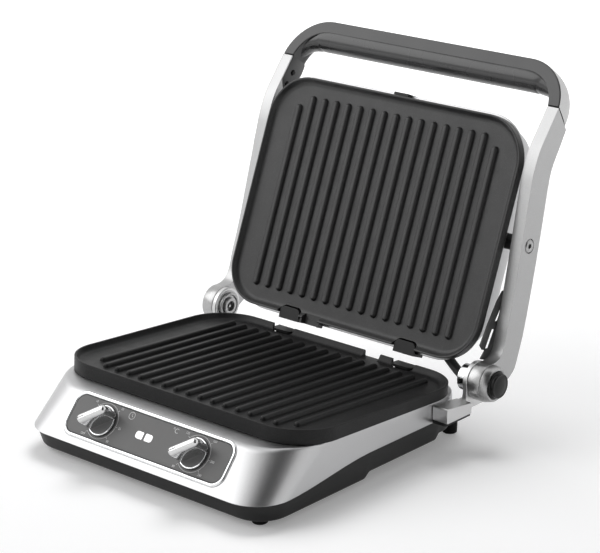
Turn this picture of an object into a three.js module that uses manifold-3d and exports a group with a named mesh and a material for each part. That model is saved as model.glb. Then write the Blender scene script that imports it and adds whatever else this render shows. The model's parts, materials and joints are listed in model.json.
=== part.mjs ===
// Contact grill: lower cooker, lid on two cast arms, tilting upper head.
// Millimetres, X to the right, Y to the back, Z up.
import * as THREE from 'three';
import { mergeVertices } from 'three/addons/utils/BufferGeometryUtils.js';
import Module from 'manifold-3d';

const wasm = await Module();
wasm.setup();

// Fits
const seatGap = 0.3;
const cutOverrun = 2;
const runningGap = 0.1;

// Cooking plates
const plateWidth = 290;
const plateDepth = 219;
const plateCorner = 42;
const plateRimWidth = 4.5;
const plateRimRound = 0.8;
const plateBowlDepth = 6.5;
const plateBowlSlope = 6;
const plateFloor = 3;
const plateWall = 3;
const lowerSkirtRear = 9.5;
const lowerSkirtFront = 13;
const upperSkirt = 12;
const ribCount = 17;
const ribPitch = 14.2;
const ribWidth = 7.2;
const ribTopWidth = 4.6;
const ribDrop = 2;
const ribStart = 18.1;
const ribFarGap = 16.6;
const ribEnd = plateDepth - ribFarGap;
const ribShorter = 10;

// Where the two plates sit
const lowerRimHeight = 57.9;
const lowerTiltDeg = 3.93;
const upperEdgeBack = -0.6;
const upperEdgeHeight = 70.2;
const upperLeanDeg = 68.41;

// Plate clips, grease gap and grease lip
const clipWidth = 23;
const clipReach = 6.6;
const clipTail = 5;
const clipSheet = 2.4;
const clipSink = 2.6;
const clipCorner = 5;
const clipNotchGap = 1.3;
const upperClipLeft = -64;
const upperClipRight = 72;
const lowerClipLeft = -67;
const lowerClipRight = 75;
const greaseGapCentre = 39;
const greaseGapWidth = 18;
const greaseGapReach = 9;
const greaseLipCentre = -37.5;
const greaseLipWidth = 23;
const greaseLipReach = 4.5;
const greaseLipWall = 2.2;
const greaseLipWallRise = 4.5;

// Hinge axis and head pivot
const hingeBack = 6.8;
const hingeHeight = 57.7;
const pivotFromEnd = 104.3;
const pivotAlong = plateDepth - pivotFromEnd;
const pivotBehind = 23;

// Lower housing
const housingInset = 3;
const housingHalfWidth = plateWidth / 2 - housingInset;
const housingCorner = 30;
const housingRearCorner = 34;
const housingRear = 4.5;
const housingWall = 2.2;
const housingShoulder = 15;
const housingShoulderDrop = 1.9;
const housingFrontBottom = 22.2;
const housingBottomRiseDeg = 2.4;
const housingShoulderGap = 3.4;
const ledgeWidth = 14;

// Control panel
const panelForward = 32.5;
const panelBack = -plateDepth - panelForward;
const panelHeight = 40;
const panelSlopeDeg = 50.2;
const panelHalfWidth = 90.5;
const panelLow = -14.2;
const panelHigh = 21.2;
const panelCorner = 9;
const panelSheet = 1.6;
const bezelWidth = 3.4;
const bezelRise = 1.5;
const bezelLip = 0.5;
const knobSpread = 53.5;
const knobUp = 3.8;
const dialRadius = 14.4;
const dialRise = 5.5;
const dialStep = 1.8;
const dialFlutes = 32;
const dialFluteRadius = 0.8;
const gripLength = 29.5;
const gripWidth = 8;
const gripTop = 20;
const gripTurnDeg = 39;
const shaftRadius = 3;
const windowWidth = 9.1;
const windowHeight = 7;
const windowGap = 1.3;
const windowCorner = 2.2;
const windowShift = -4.35;
const windowSheet = 1.2;
const lampDepth = 9;
const lampRadius = 3;
const switchWidth = 34;
const switchHeight = 30;
const switchDepth = 15;

// Base pan, feet and drip tray
const panInset = 2.5;
const panHalfWidth = housingHalfWidth - panInset;
const panCorner = 27;
const panRearCorner = 30;
const panFloorHeight = 7;
const panUndercut = 11;
const panFrontInset = 1.8;
const panSheet = 2.2;
const panRecessDepth = 5.5;
const panRecessFront = -130;
const panRecessRear = -45;
const panRecessHeight = 19;
const panStepFront = -80;
const panRearHeight = 25;
const panRearEdge = 2;
const skirtDrop = 2;
const skirtRear = -140;
const skirtSheet = 4;
const footRadius = 10;
const footTopRadius = 11;
const footInset = 19.5;
const footSpread = panHalfWidth - footInset;
const footForward = 24;
const footFront = -plateDepth - footForward;
const footRear = 11.2;
const legHalfWidth = 12;
const legTop = 28.5;
const legFront = -10;
const trayHalfWidth = 74;
const trayFront = -70;
const trayRear = 13;
const trayBottom = 8;
const trayTop = 23;
const traySheet = 1.6;
const trayFlange = 4.5;
const trayCorner = 6;
const trayGripDepth = 7;
const railSheet = 2;
const glandSideInset = 43.5;
const glandPlace = -panHalfWidth + glandSideInset;
const glandDrop = 4.85;
const glandRadius = 4.2;
const glandLength = 8;
const glandBore = 2.6;

// Hinge brackets, pins, boss and release button
const bracketInner = housingHalfWidth + seatGap;
const bracketEyeStep = 4.3;
const bracketEyeInner = bracketInner + bracketEyeStep;
const bracketEyeSheet = 4.6;
const bracketEyeOuter = bracketEyeInner + bracketEyeSheet;
const bracketEyeRadius = 17;
const knuckleLength = 12.2;
const armOuter = bracketEyeOuter + seatGap + knuckleLength;
const bracketWingInset = 2;
const bracketOuter = armOuter - bracketWingInset;
const bracketFront = -46.4;
const bracketBreak = -14.7;
const bracketRear = -1.8;
const bracketFrontDrop = 9.9;
const bracketBreakDrop = 13.1;
const bracketStepDrop = 18.7;
const bracketBottomDrop = 24.2;
const bracketFrontTop = hingeHeight - bracketFrontDrop;
const bracketBreakTop = hingeHeight - bracketBreakDrop;
const bracketStepTop = hingeHeight - bracketStepDrop;
const bracketBottom = hingeHeight - bracketBottomDrop;
const postRear = 15.4;
const pinRadius = 5.5;
const pinHeadRadius = 9.2;
const pinCollarRadius = 12.6;
const pinHeadStand = 0.7;
const pinHeadFace = bracketEyeInner - pinHeadStand;
const pinCollarSheet = 0.5;
const pinSlotLength = 8.4;
const pinSlotWidth = 1.5;
const pinSlotDepth = 0.45;
const bossLength = 9.4;
const bossInner = bracketEyeInner - seatGap - bossLength;
const bossRadius = 12.4;
const bossBore = 6;
const bossBoreDepth = 4;
const collarLength = 7;
const collarRadius = 17;
const collarEndRadius = 15.8;
const collarBore = 13.4;
const buttonRadius = 13;
const buttonStand = 5;
const collarStart = armOuter + seatGap;
const collarEnd = collarStart + collarLength;
const buttonEnd = collarEnd + buttonStand;
const buttonDepth = 8.3;
const buttonRound = 1.6;

// Lid arms
const armInset = 0.2;
const armThickness = knuckleLength - armInset;
const armLean = 4.1;
const armLeanShares = [0.0982, 0.7414];
const armFrontShares = [[0.0798, 0.0019], [0.1086, -0.0454], [0.1412, -0.0444], [0.2352, -0.0291],
  [0.3302, -0.0141], [0.5556, 0.0197], [0.7295, 0.045], [0.8373, 0.0473], [0.9144, 0.0234],
  [0.998, 0.0005]];
const armBackShares = [[0.9356, -0.0813], [0.8524, -0.0679], [0.7489, -0.0565], [0.5602, -0.0863],
  [0.2085, -0.1319], [0.1034, -0.1313], [0.0679, -0.1348], [0.0297, -0.1029], [-0.0406, -0.0532]];
const capRadius = 5.8;
const capSheet = 1.1;
const capDotRadius = 1.8;
const pivotStubRadius = 7;
const pivotPinRadius = 4.4;

// Cable guide on the right arm
const guideSheet = 4.8;
const guideArmGap = 1.5;
const guideInner = armOuter - armThickness - guideArmGap - guideSheet;
const guideEdgeShares = [[0.3262, -0.0391], [0.3005, -0.0116], [0.2154, -0.0061], [0.123, 0.006],
  [0.1028, -0.0139], [0.1061, -0.0553], [0.1444, -0.0677]];
const guideSlotLowShares = [[0.129, -0.0311], [0.1959, -0.0394]];
const guideSlotHighShares = [[0.2274, -0.0398], [0.2795, -0.0434]];
const guideSlotWidth = 3.4;

// Handle
const handleBehind = 22.52;
const handleAbove = 10.86;
const upperLean = THREE.MathUtils.degToRad(upperLeanDeg);
const handleBack = upperEdgeBack + plateDepth * Math.cos(upperLean) + handleBehind;
const handleHeight = upperEdgeHeight + plateDepth * Math.sin(upperLean) + handleAbove;
const handleLeanDeg = 55.5;
const handleOuter = armOuter - armLean;
const handleBand = 12;
const handleTop = 40;
const handleCorner = 45.5;
const handleDepth = 24;
const handleFootDrop = 11;
const gripBarRadius = 12;
const gripBarUp = 25;
const gripBarBack = 12;
const gripBarHalf = 118;
const cheekSheet = 2.7;
const cheekGap = 0.4;
const cheekInner = handleOuter - handleBand - cheekGap - cheekSheet;
const cheekEdgeShares = [[0.9987, -0.0001], [0.8916, 0.0376], [0.861, 0.0141], [0.8501, -0.0081],
  [0.8698, -0.0329], [0.9369, -0.0812], [0.9817, -0.0892]];
const screwShares = [[0.9344, -0.0272], [0.8848, -0.0098]];
const screwRadius = 3;
const screwHeight = 1.5;
const screwSlot = 0.9;
const screwSlotDepth = 0.5;

// Upper head
const frameInset = 0.5;
const frameHalfWidth = plateWidth / 2 - frameInset;
const frameCorner = 40;
const frameSheet = 2.5;
const frameRing = 17;
const headInset = 9;
const headHalfWidth = plateWidth / 2 - headInset;
const headEnd = 5;
const headCorner = 36;
const headDepth = 40;
const headRound = 9;
const headWall = 2.2;
const headChamferLength = 38;
const headChamferDepth = 18;
const latchHalfWidth = 8;
const latchSheet = 2.6;
const latchTop = 3;
const latchFoot = 7;

// Heater under each plate
const heatPanInset = 12;
const heatPanSheet = 1.2;
const elementRadius = 3.3;
const elementPlateGap = 1.2;
const elementSideInset = 41;
const elementHalfWidth = plateWidth / 2 - elementSideInset;
const elementNear = 34;
const elementFarGap = 35;
const elementFar = plateDepth - elementFarGap;
const elementBend = 22;

// Wire sleeve
const sleeveRadius = 4.4;
const sleeveOffsets = [[2.5, 0, 0.5], [-2.9, 1.2, 1.1], [-9.9, 5.2, 3.3], [-16.9, 9.4, 5.5], [-22.4, 12.4, 7.5],
  [-24.9, 13.5, 10]];

const cornerSteps = 6;
const toRad = THREE.MathUtils.degToRad;

// Solids and geometries
function solidOf(geometry) {
  const bare = geometry.clone();
  bare.deleteAttribute('normal');
  bare.deleteAttribute('uv');
  const merged = mergeVertices(bare);
  return new wasm.Manifold(new wasm.Mesh({
    numProp: 3,
    vertProperties: new Float32Array(merged.attributes.position.array),
    triVerts: new Uint32Array(merged.index.array),
  }));
}

function geometryOf(solid) {
  const mesh = solid.getMesh();
  const geometry = new THREE.BufferGeometry();
  geometry.setAttribute('position', new THREE.BufferAttribute(new Float32Array(mesh.vertProperties), 3));
  geometry.setIndex(new THREE.BufferAttribute(new Uint32Array(mesh.triVerts), 1));
  geometry.computeVertexNormals();
  return geometry;
}

function joined(first, ...others) {
  return geometryOf(others.reduce((solid, other) => solid.add(solidOf(other)), solidOf(first)));
}

function cut(first, ...tools) {
  return geometryOf(tools.reduce((solid, tool) => solid.subtract(solidOf(tool)), solidOf(first)));
}

function common(first, second) {
  return geometryOf(solidOf(first).intersect(solidOf(second)));
}

function reversed(geometry) {
  const index = geometry.index.array;
  for (let i = 0; i < index.length; i += 3) {
    const second = index[i + 1];
    index[i + 1] = index[i + 2];
    index[i + 2] = second;
  }
  return geometry;
}

function signedVolume(geometry) {
  const index = geometry.index.array;
  const at = (i) => new THREE.Vector3().fromBufferAttribute(geometry.attributes.position, index[i]);
  let volume = 0;
  for (let i = 0; i < index.length; i += 3) {
    volume += at(i).dot(at(i + 1).cross(at(i + 2)));
  }
  return volume;
}

// A skin through rings of equal count, capped at both ends or closed on itself
function loft(rings, closed = false) {
  const count = rings[0].length;
  const points = rings.flat();
  const index = [];
  const bands = closed ? rings.length : rings.length - 1;
  for (let band = 0; band < bands; band += 1) {
    const low = band * count;
    const high = ((band + 1) % rings.length) * count;
    for (let i = 0; i < count; i += 1) {
      const next = (i + 1) % count;
      index.push(low + i, low + next, high + next, low + i, high + next, high + i);
    }
  }
  if (!closed) {
    const cap = (ring) => THREE.ShapeUtils.triangulateShape(ring.map((p) => new THREE.Vector2(p.x, p.y)), []);
    const lastStart = (rings.length - 1) * count;
    for (const [a, b, c] of cap(rings[0])) index.push(a, c, b);
    for (const [a, b, c] of cap(rings[rings.length - 1])) index.push(lastStart + a, lastStart + b,
      lastStart + c);
  }
  const geometry = new THREE.BufferGeometry();
  geometry.setAttribute('position', new THREE.Float32BufferAttribute(points.flatMap((p) => p.toArray()), 3));
  geometry.setIndex(index);
  if (signedVolume(geometry) < 0) reversed(geometry);
  geometry.computeVertexNormals();
  return geometry;
}

// A rounded rectangle from x -half to half and y low to high, at a height that may follow y
function ring(half, low, high, radius, height, endRadius = radius) {
  const heightAt = typeof height === 'function' ? height : () => height;
  const points = [];
  for (let quarter = 0; quarter < 4; quarter += 1) {
    const sideX = quarter === 0 || quarter === 3 ? 1 : -1;
    const top = quarter < 2;
    const r = top ? endRadius : radius;
    for (let step = 0; step <= cornerSteps; step += 1) {
      const angle = ((quarter + step / cornerSteps) * Math.PI) / 2;
      const x = sideX * (half - r) + r * Math.cos(angle);
      const y = (top ? high - r : low + r) + r * Math.sin(angle);
      points.push(new THREE.Vector3(x, y, heightAt(y)));
    }
  }
  return points;
}

function shapeOf(points) {
  return new THREE.Shape(points.map(([x, y]) => new THREE.Vector2(x, y)));
}

// An outline in Y and Z, pushed along X
function sideExtrude(points, from, to) {
  const geometry = new THREE.ExtrudeGeometry(shapeOf(points), { depth: to - from, bevelEnabled: false });
  geometry.applyMatrix4(new THREE.Matrix4().makeBasis(
    new THREE.Vector3(0, 1, 0), new THREE.Vector3(0, 0, 1), new THREE.Vector3(1, 0, 0)));
  geometry.translate(from, 0, 0);
  return geometry;
}

function box(x0, x1, y0, y1, z0, z1) {
  const geometry = new THREE.BoxGeometry(x1 - x0, y1 - y0, z1 - z0);
  geometry.translate((x0 + x1) / 2, (y0 + y1) / 2, (z0 + z1) / 2);
  return geometry;
}

function disc(radius, z0, z1, segments = 24) {
  const geometry = new THREE.CylinderGeometry(radius, radius, z1 - z0, segments);
  geometry.rotateX(Math.PI / 2);
  geometry.translate(0, 0, (z0 + z1) / 2);
  return geometry;
}

// A round bar along X, from x0 to x1, about a point in Y and Z
function barrel(radius, x0, x1, y, z, segments = 24) {
  const geometry = new THREE.CylinderGeometry(radius, radius, x1 - x0, segments);
  geometry.rotateZ(Math.PI / 2);
  geometry.translate((x0 + x1) / 2, y, z);
  return geometry;
}

// A profile of radius and x, turned about a line along X
function turned(profile, y, z, segments = 24) {
  const geometry = new THREE.LatheGeometry(profile.map(([r, x]) => new THREE.Vector2(r, x)), segments);
  geometry.rotateZ(-Math.PI / 2);
  geometry.translate(0, y, z);
  const merged = indexed(geometry);
  return signedVolume(merged) < 0 ? reversed(merged) : merged;
}

function indexed(geometry) {
  const bare = geometry.clone();
  bare.deleteAttribute('normal');
  bare.deleteAttribute('uv');
  const merged = mergeVertices(bare);
  merged.computeVertexNormals();
  return geometryOf(solidOf(merged));
}

function mirrored(geometry) {
  const other = geometry.clone();
  if (!other.index) return mirrored(indexed(geometry));
  other.scale(-1, 1, 1);
  return reversed(other);
}

// Materials
const finishes = {
  silver: { color: 0xb9babc, roughness: 0.36, metalness: 0.9 },
  cast: { color: 0xaaabad, roughness: 0.42, metalness: 0.85 },
  chrome: { color: 0xdadcde, roughness: 0.1, metalness: 1 },
  steel: { color: 0x9c9ea0, roughness: 0.3, metalness: 1 },
  nonStick: { color: 0x3a3a3b, roughness: 0.55, metalness: 0.2 },
  blackPlastic: { color: 0x1b1b1c, roughness: 0.5, metalness: 0 },
  glossBlack: { color: 0x0e0e0f, roughness: 0.18, metalness: 0 },
  greyPanel: { color: 0x707274, roughness: 0.45, metalness: 0.4 },
  handleGrey: { color: 0x3b3c3e, roughness: 0.45, metalness: 0.1 },
  lens: { color: 0xf4f4f0, roughness: 0.2, metalness: 0 },
  rubber: { color: 0x151515, roughness: 0.85, metalness: 0 },
  element: { color: 0x55504c, roughness: 0.6, metalness: 0.7 },
  heatPan: { color: 0xa7a9ab, roughness: 0.4, metalness: 0.9 },
  braid: { color: 0x5b5c5e, roughness: 0.7, metalness: 0.2 },
};

const grill = new THREE.Group();

function place(parent, name, geometry, finish) {
  const mesh = new THREE.Mesh(geometry, new THREE.MeshStandardMaterial(finishes[finish]));
  mesh.name = name;
  parent.add(mesh);
  return mesh;
}

// Frames: the lower plate's, the upper head's and the panel's
const lowerFrame = new THREE.Group();
lowerFrame.position.set(0, 0, lowerRimHeight);
lowerFrame.rotation.x = -toRad(lowerTiltDeg);
grill.add(lowerFrame);

const headFrame = new THREE.Group();
headFrame.position.set(0, upperEdgeBack, upperEdgeHeight);
headFrame.rotation.x = upperLean;
grill.add(headFrame);

const panelFrame = new THREE.Group();
panelFrame.position.set(0, panelBack, panelHeight);
panelFrame.rotation.x = toRad(panelSlopeDeg);
grill.add(panelFrame);

const handleFrame = new THREE.Group();
handleFrame.position.set(0, handleBack, handleHeight);
handleFrame.rotation.x = toRad(handleLeanDeg);
grill.add(handleFrame);

// Cooking plates: side is 1 where the plate runs along +Y from its hinge edge, -1 where it runs along -Y
function plateRing(side, inset, height) {
  const near = side > 0 ? inset : -plateDepth + inset;
  const far = side > 0 ? plateDepth - inset : -inset;
  return ring(plateWidth / 2 - inset, near, far, plateCorner - inset, height);
}

function span(side, near, far) {
  return side > 0 ? [near, far] : [-far, -near];
}

function ribGeometry(side, x, far) {
  const outline = (halfWidth, height) => {
    const [low, high] = span(side, ribStart + ribWidth / 2 - halfWidth, far - ribWidth / 2 + halfWidth);
    return ring(halfWidth, low, high, halfWidth, height);
  };
  const geometry = loft([
    outline(ribWidth / 2, -plateBowlDepth - plateFloor / 2),
    outline(ribWidth / 2, -plateBowlDepth),
    outline(ribTopWidth / 2, -ribDrop),
  ]);
  geometry.translate(x, 0, 0);
  return geometry;
}

function notchGeometry(side, centre, width, reach, corner) {
  const [low, high] = span(side, -cutOverrun, reach);
  const depth = Math.max(lowerSkirtFront, upperSkirt) + cutOverrun;
  const innerCorner = side > 0 ? [seatGap, corner] : [corner, seatGap];
  const outline = (height) => ring(width / 2, low, high, innerCorner[0], height, innerCorner[1]);
  const geometry = loft([outline(-depth), outline(cutOverrun)]);
  geometry.translate(centre, 0, 0);
  return geometry;
}

function plateGeometry(side, skirtAt, notchCentres) {
  const bowl = loft([
    plateRing(side, plateWall, -plateBowlDepth - plateFloor),
    plateRing(side, plateWall, skirtAt),
    plateRing(side, plateRimRound, skirtAt),
    plateRing(side, 0, -plateRimRound),
    plateRing(side, plateRimRound, 0),
    plateRing(side, plateRimWidth, 0),
    plateRing(side, plateRimWidth + plateBowlSlope, -plateBowlDepth),
  ]);
  const ribs = [];
  for (let i = 0; i < ribCount; i += 1) {
    const outermost = i === 0 || i === ribCount - 1;
    ribs.push(ribGeometry(side, (i - (ribCount - 1) / 2) * ribPitch, ribEnd - (outermost ? ribShorter : 0)));
  }
  const notches = notchCentres.map((centre) => notchGeometry(
    side, centre, clipWidth + 2 * clipNotchGap, clipReach + clipNotchGap, clipCorner + clipNotchGap));
  return cut(joined(bowl, ...ribs), ...notches);
}

const lowerSkirtAt = (y) => -lowerSkirtRear + ((lowerSkirtFront - lowerSkirtRear) * y) / plateDepth;
const greaseGapHalf = greaseGapWidth / 2;
const lowerPlate = cut(
  plateGeometry(-1, lowerSkirtAt, [lowerClipLeft, lowerClipRight]),
  box(greaseGapCentre - greaseGapHalf, greaseGapCentre + greaseGapHalf, -greaseGapReach - plateRimWidth,
    cutOverrun, -plateBowlDepth, cutOverrun));
place(lowerFrame, 'lower_grill_plate', lowerPlate, 'nonStick');

// The upper plate has a lip below its lower edge, open towards the bowl
const lipHalf = greaseLipWidth / 2;
const lipFloor = -plateBowlDepth - plateFloor;
const lip = cut(
  box(greaseLipCentre - lipHalf, greaseLipCentre + lipHalf, -greaseLipReach, plateWall, lipFloor,
    -plateBowlDepth + greaseLipWallRise),
  box(greaseLipCentre - lipHalf + greaseLipWall, greaseLipCentre + lipHalf - greaseLipWall,
    -greaseLipReach - cutOverrun, plateWall + cutOverrun, -plateBowlDepth, cutOverrun));
const upperPlateBody = cut(
  plateGeometry(1, -upperSkirt, [upperClipLeft, upperClipRight]),
  box(greaseLipCentre - lipHalf + greaseLipWall, greaseLipCentre + lipHalf - greaseLipWall,
    -cutOverrun, plateRimWidth + plateBowlSlope, -plateBowlDepth, cutOverrun));
place(headFrame, 'upper_grill_plate', joined(upperPlateBody, lip), 'nonStick');

// Heater under a plate: a shallow reflector pan and a bent element that touches the plate's underside
const elementCentre = -plateBowlDepth - plateFloor - elementPlateGap - elementRadius;
const panFloorTop = elementCentre - elementRadius - seatGap;

function heatPanGeometry(side, flangeAt) {
  const flangeTop = (y) => Math.max(flangeAt(y), panFloorTop + heatPanSheet);
  const flangeUnder = (y) => flangeTop(y) - heatPanSheet;
  return loft([
    plateRing(side, ledgeWidth + heatPanSheet, panFloorTop - heatPanSheet),
    plateRing(side, ledgeWidth + seatGap, flangeUnder),
    plateRing(side, heatPanInset - seatGap, flangeUnder),
    plateRing(side, heatPanInset - seatGap, flangeTop),
    plateRing(side, ledgeWidth + heatPanSheet, flangeTop),
    plateRing(side, ledgeWidth + 2 * heatPanSheet, panFloorTop),
  ]);
}

function elementGeometry(side) {
  const path = new THREE.CurvePath();
  const [near, far] = [side * elementNear, side * elementFar];
  const bend = side * elementBend;
  const half = elementHalfWidth;
  const inner = half - 2 * elementBend;
  const at = (x, y) => new THREE.Vector3(x, y, elementCentre);
  const corner = (a, b, c) => path.add(new THREE.QuadraticBezierCurve3(a, b, c));
  path.add(new THREE.LineCurve3(at(-inner, near + 2 * bend), at(-inner, far - bend)));
  corner(at(-inner, far - bend), at(-inner, far), at(-inner - elementBend, far));
  corner(at(-inner - elementBend, far), at(-half, far), at(-half, far - bend));
  path.add(new THREE.LineCurve3(at(-half, far - bend), at(-half, near + bend)));
  corner(at(-half, near + bend), at(-half, near), at(-half + elementBend, near));
  path.add(new THREE.LineCurve3(at(-half + elementBend, near), at(half - elementBend, near)));
  corner(at(half - elementBend, near), at(half, near), at(half, near + bend));
  path.add(new THREE.LineCurve3(at(half, near + bend), at(half, far - bend)));
  corner(at(half, far - bend), at(half, far), at(inner + elementBend, far));
  corner(at(inner + elementBend, far), at(inner, far), at(inner, far - bend));
  path.add(new THREE.LineCurve3(at(inner, far - bend), at(inner, near + 2 * bend)));
  const section = new THREE.Shape();
  section.absarc(0, 0, elementRadius, 0, 2 * Math.PI);
  return new THREE.ExtrudeGeometry(section, { steps: 44, curveSegments: 3, extrudePath: path });
}

const lowerLedgeAt = (y) => lowerSkirtAt(y) - seatGap;
place(lowerFrame, 'lower_heat_pan',
  heatPanGeometry(-1, (y) => lowerLedgeAt(y) - housingWall - 2 * seatGap), 'heatPan');
place(lowerFrame, 'lower_heating_element', elementGeometry(-1), 'element');

// Lower housing: a shell with a sloping front, a ledge under the plate and an opening for the panel
const slope = toRad(panelSlopeDeg);
const ledgeHeight = (y) => lowerRimHeight - y * Math.tan(toRad(lowerTiltDeg)) + lowerLedgeAt(y);
const bottomHeight = (y) => housingFrontBottom
  + (y - slopeBack(housingFrontBottom)) * Math.tan(toRad(housingBottomRiseDeg));
function slopeBack(height, inset = 0) {
  return panelBack + (height - panelHeight) / Math.tan(slope) + inset / Math.sin(slope);
}
const shoulderFront = -plateDepth - housingShoulderGap;
const edgeHeight = ledgeHeight(shoulderFront) - housingShoulderDrop;
const topAt = (y) => (y < shoulderFront
  ? THREE.MathUtils.mapLinear(y, slopeBack(edgeHeight), shoulderFront, edgeHeight, ledgeHeight(shoulderFront))
  : ledgeHeight(y));
function housingRing(inset, height, front) {
  return ring(housingHalfWidth - inset, front, housingRear - inset, housingCorner - inset, height,
    Math.max(housingRearCorner - inset, seatGap));
}
function openingRing(height) {
  return ring(plateWidth / 2 - ledgeWidth, -plateDepth + ledgeWidth, -ledgeWidth, plateCorner - ledgeWidth,
    height);
}
const housingShell = loft([
  housingRing(0, bottomHeight, slopeBack(housingFrontBottom)),
  housingRing(0, topAt, slopeBack(edgeHeight)),
  ring(housingHalfWidth - housingWall, shoulderFront, housingRear - housingWall, housingCorner, topAt,
    housingRearCorner),
  openingRing(ledgeHeight),
  openingRing((y) => ledgeHeight(y) - housingWall),
  housingRing(housingWall, (y) => topAt(y) - housingWall, slopeBack(edgeHeight - housingWall, housingWall)),
  housingRing(housingWall, bottomHeight, slopeBack(housingFrontBottom, housingWall)),
], true);

function panelOutline(grow, z0, z1) {
  const outline = (height) => ring(
    panelHalfWidth + grow, panelLow - grow, panelHigh + grow, panelCorner + grow, height);
  return loft([outline(z0), outline(z1)]);
}

const panelCutter = panelOutline(seatGap + bezelLip, -housingWall - cutOverrun, cutOverrun);
panelCutter.rotateX(slope);
panelCutter.translate(0, panelBack, panelHeight);
const greaseDrop = box(greaseGapCentre - greaseGapHalf - cutOverrun,
  greaseGapCentre + greaseGapHalf + cutOverrun,
  -ledgeWidth - cutOverrun, -plateWall, bottomHeight(0), lowerRimHeight);
place(grill, 'lower_housing', cut(housingShell, panelCutter, greaseDrop), 'silver');

// Control panel, its chrome bezel, the two indicator windows and their lamps
const panelTop = bezelLip;
const windowCentres = [-1, 1].map((sign) => windowShift + (sign * (windowWidth + windowGap)) / 2);

function windowOutline(centre, grow, z0, z1) {
  const outline = (height) => ring(
    windowWidth / 2 + grow, -windowHeight / 2 - grow, windowHeight / 2 + grow, windowCorner + grow, height);
  const geometry = loft([outline(z0), outline(z1)]);
  geometry.translate(centre, knobUp, 0);
  return geometry;
}

const panelHoles = [-knobSpread, knobSpread].map((x) => {
  const hole = disc(shaftRadius + seatGap, -panelSheet - cutOverrun, cutOverrun, 16);
  hole.translate(x, knobUp, 0);
  return hole;
});
const windowHoles = windowCentres.map((x) => windowOutline(x, seatGap, -panelSheet - cutOverrun, cutOverrun));
place(panelFrame, 'control_panel',
  cut(panelOutline(-seatGap, panelTop - panelSheet, panelTop), ...panelHoles, ...windowHoles), 'greyPanel');
place(panelFrame, 'panel_bezel', cut(
  joined(panelOutline(bezelWidth, seatGap, bezelRise), panelOutline(bezelLip, -housingWall, bezelRise)),
  panelOutline(0, -housingWall - cutOverrun, bezelRise + cutOverrun)), 'chrome');

['left', 'right'].forEach((word, i) => {
  place(panelFrame, `indicator_lens_${word}`,
    windowOutline(windowCentres[i], 0, panelTop - windowSheet, panelTop), 'lens');
  const lamp = disc(lampRadius, panelTop - windowSheet - seatGap - lampDepth,
    panelTop - windowSheet - seatGap, 16);
  lamp.translate(windowCentres[i], knobUp, 0);
  place(panelFrame, `indicator_lamp_${word}`, lamp, 'lens');
});

// Rotary switches behind the panel, with their shafts, dials and bar grips
function dialGeometry() {
  const flutes = [];
  for (let i = 0; i < dialFlutes; i += 1) {
    const angle = (2 * Math.PI * i) / dialFlutes;
    const flute = disc(dialFluteRadius, -cutOverrun, dialRise + cutOverrun, 6);
    flute.translate(dialRadius * Math.cos(angle), dialRadius * Math.sin(angle), 0);
    flutes.push(flute);
  }
  const outline = (radius, height) => {
    const points = [];
    for (let i = 0; i < 2 * dialFlutes; i += 1) {
      const angle = (Math.PI * i) / dialFlutes;
      const r = radius - (i % 2) * dialFluteRadius;
      points.push(new THREE.Vector3(r * Math.cos(angle), r * Math.sin(angle), height));
    }
    return points;
  };
  const body = loft([
    outline(dialRadius, panelTop + seatGap),
    outline(dialRadius, panelTop + dialRise - dialStep),
    outline(dialRadius - dialStep, panelTop + dialRise),
  ]);
  return cut(body, disc(shaftRadius + seatGap, -cutOverrun, panelTop + dialRise - dialStep, 16));
}

function gripGeometry() {
  const low = panelTop + dialRise + seatGap;
  const outline = (grow, height) => ring(gripLength / 2 + grow, -gripWidth / 2 - grow, gripWidth / 2 + grow,
    gripWidth / 2 + grow, height);
  const slim = -gripWidth / 6;
  const geometry = loft([outline(0, low), outline(0, low + gripWidth / 2), outline(slim,
    gripTop - gripWidth / 6),
    outline(2 * slim, gripTop)]);
  return geometry;
}

[['timer', -knobSpread, 'timer_switch'],
  ['thermostat', knobSpread, 'thermostat']].forEach(([name, x, unit]) => {
  const knob = new THREE.Group();
  knob.position.set(x, knobUp, 0);
  panelFrame.add(knob);
  const unitTop = panelTop - panelSheet - seatGap;
  const unitBody = box(-switchWidth / 2, switchWidth / 2, -switchHeight / 2, switchHeight / 2 - knobUp,
    unitTop - switchDepth, unitTop);
  place(knob, unit, cut(unitBody, disc(shaftRadius + seatGap, unitTop - switchDepth / 2,
    unitTop + cutOverrun, 16)),
    'blackPlastic');
  const shaft = disc(shaftRadius, unitTop - switchDepth / 2 + seatGap,
    panelTop + dialRise - dialStep - seatGap, 16);
  place(knob, `${name}_shaft`, shaft, 'steel');
  place(knob, `${name}_dial`, dialGeometry(), 'blackPlastic');
  const grip = place(knob, `${name}_grip`, gripGeometry(), 'chrome');
  grip.rotation.z = toRad(gripTurnDeg);
});

// Base pan: a black tray with a raised rear over the drip tray, side skirts and two rear legs
function panProfile(inset) {
  const front = slopeBack(housingFrontBottom) + panFrontInset + inset;
  const floor = panFloorHeight + inset;
  const top = (y) => bottomHeight(y) - seatGap + (inset > 0 ? cutOverrun : 0);
  return [
    [front, top(front)],
    [front, housingFrontBottom - seatGap - panSheet],
    [front + panUndercut, floor],
    [panStepFront - inset, floor],
    [panStepFront - inset, panRearHeight + inset],
    [panRearEdge - inset, panRearHeight + inset],
    [panRearEdge - inset, top(panRearEdge)],
  ];
}

function panBlock(inset, sideInset) {
  const half = panHalfWidth - sideInset;
  const front = slopeBack(housingFrontBottom) + panFrontInset + inset;
  const column = (height) => ring(half, front, panRearEdge - inset, panCorner - inset, height,
    panRearCorner - inset);
  return common(sideExtrude(panProfile(inset), -half - cutOverrun, half + cutOverrun),
    loft([column(0), column(lowerRimHeight)]));
}

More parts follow.
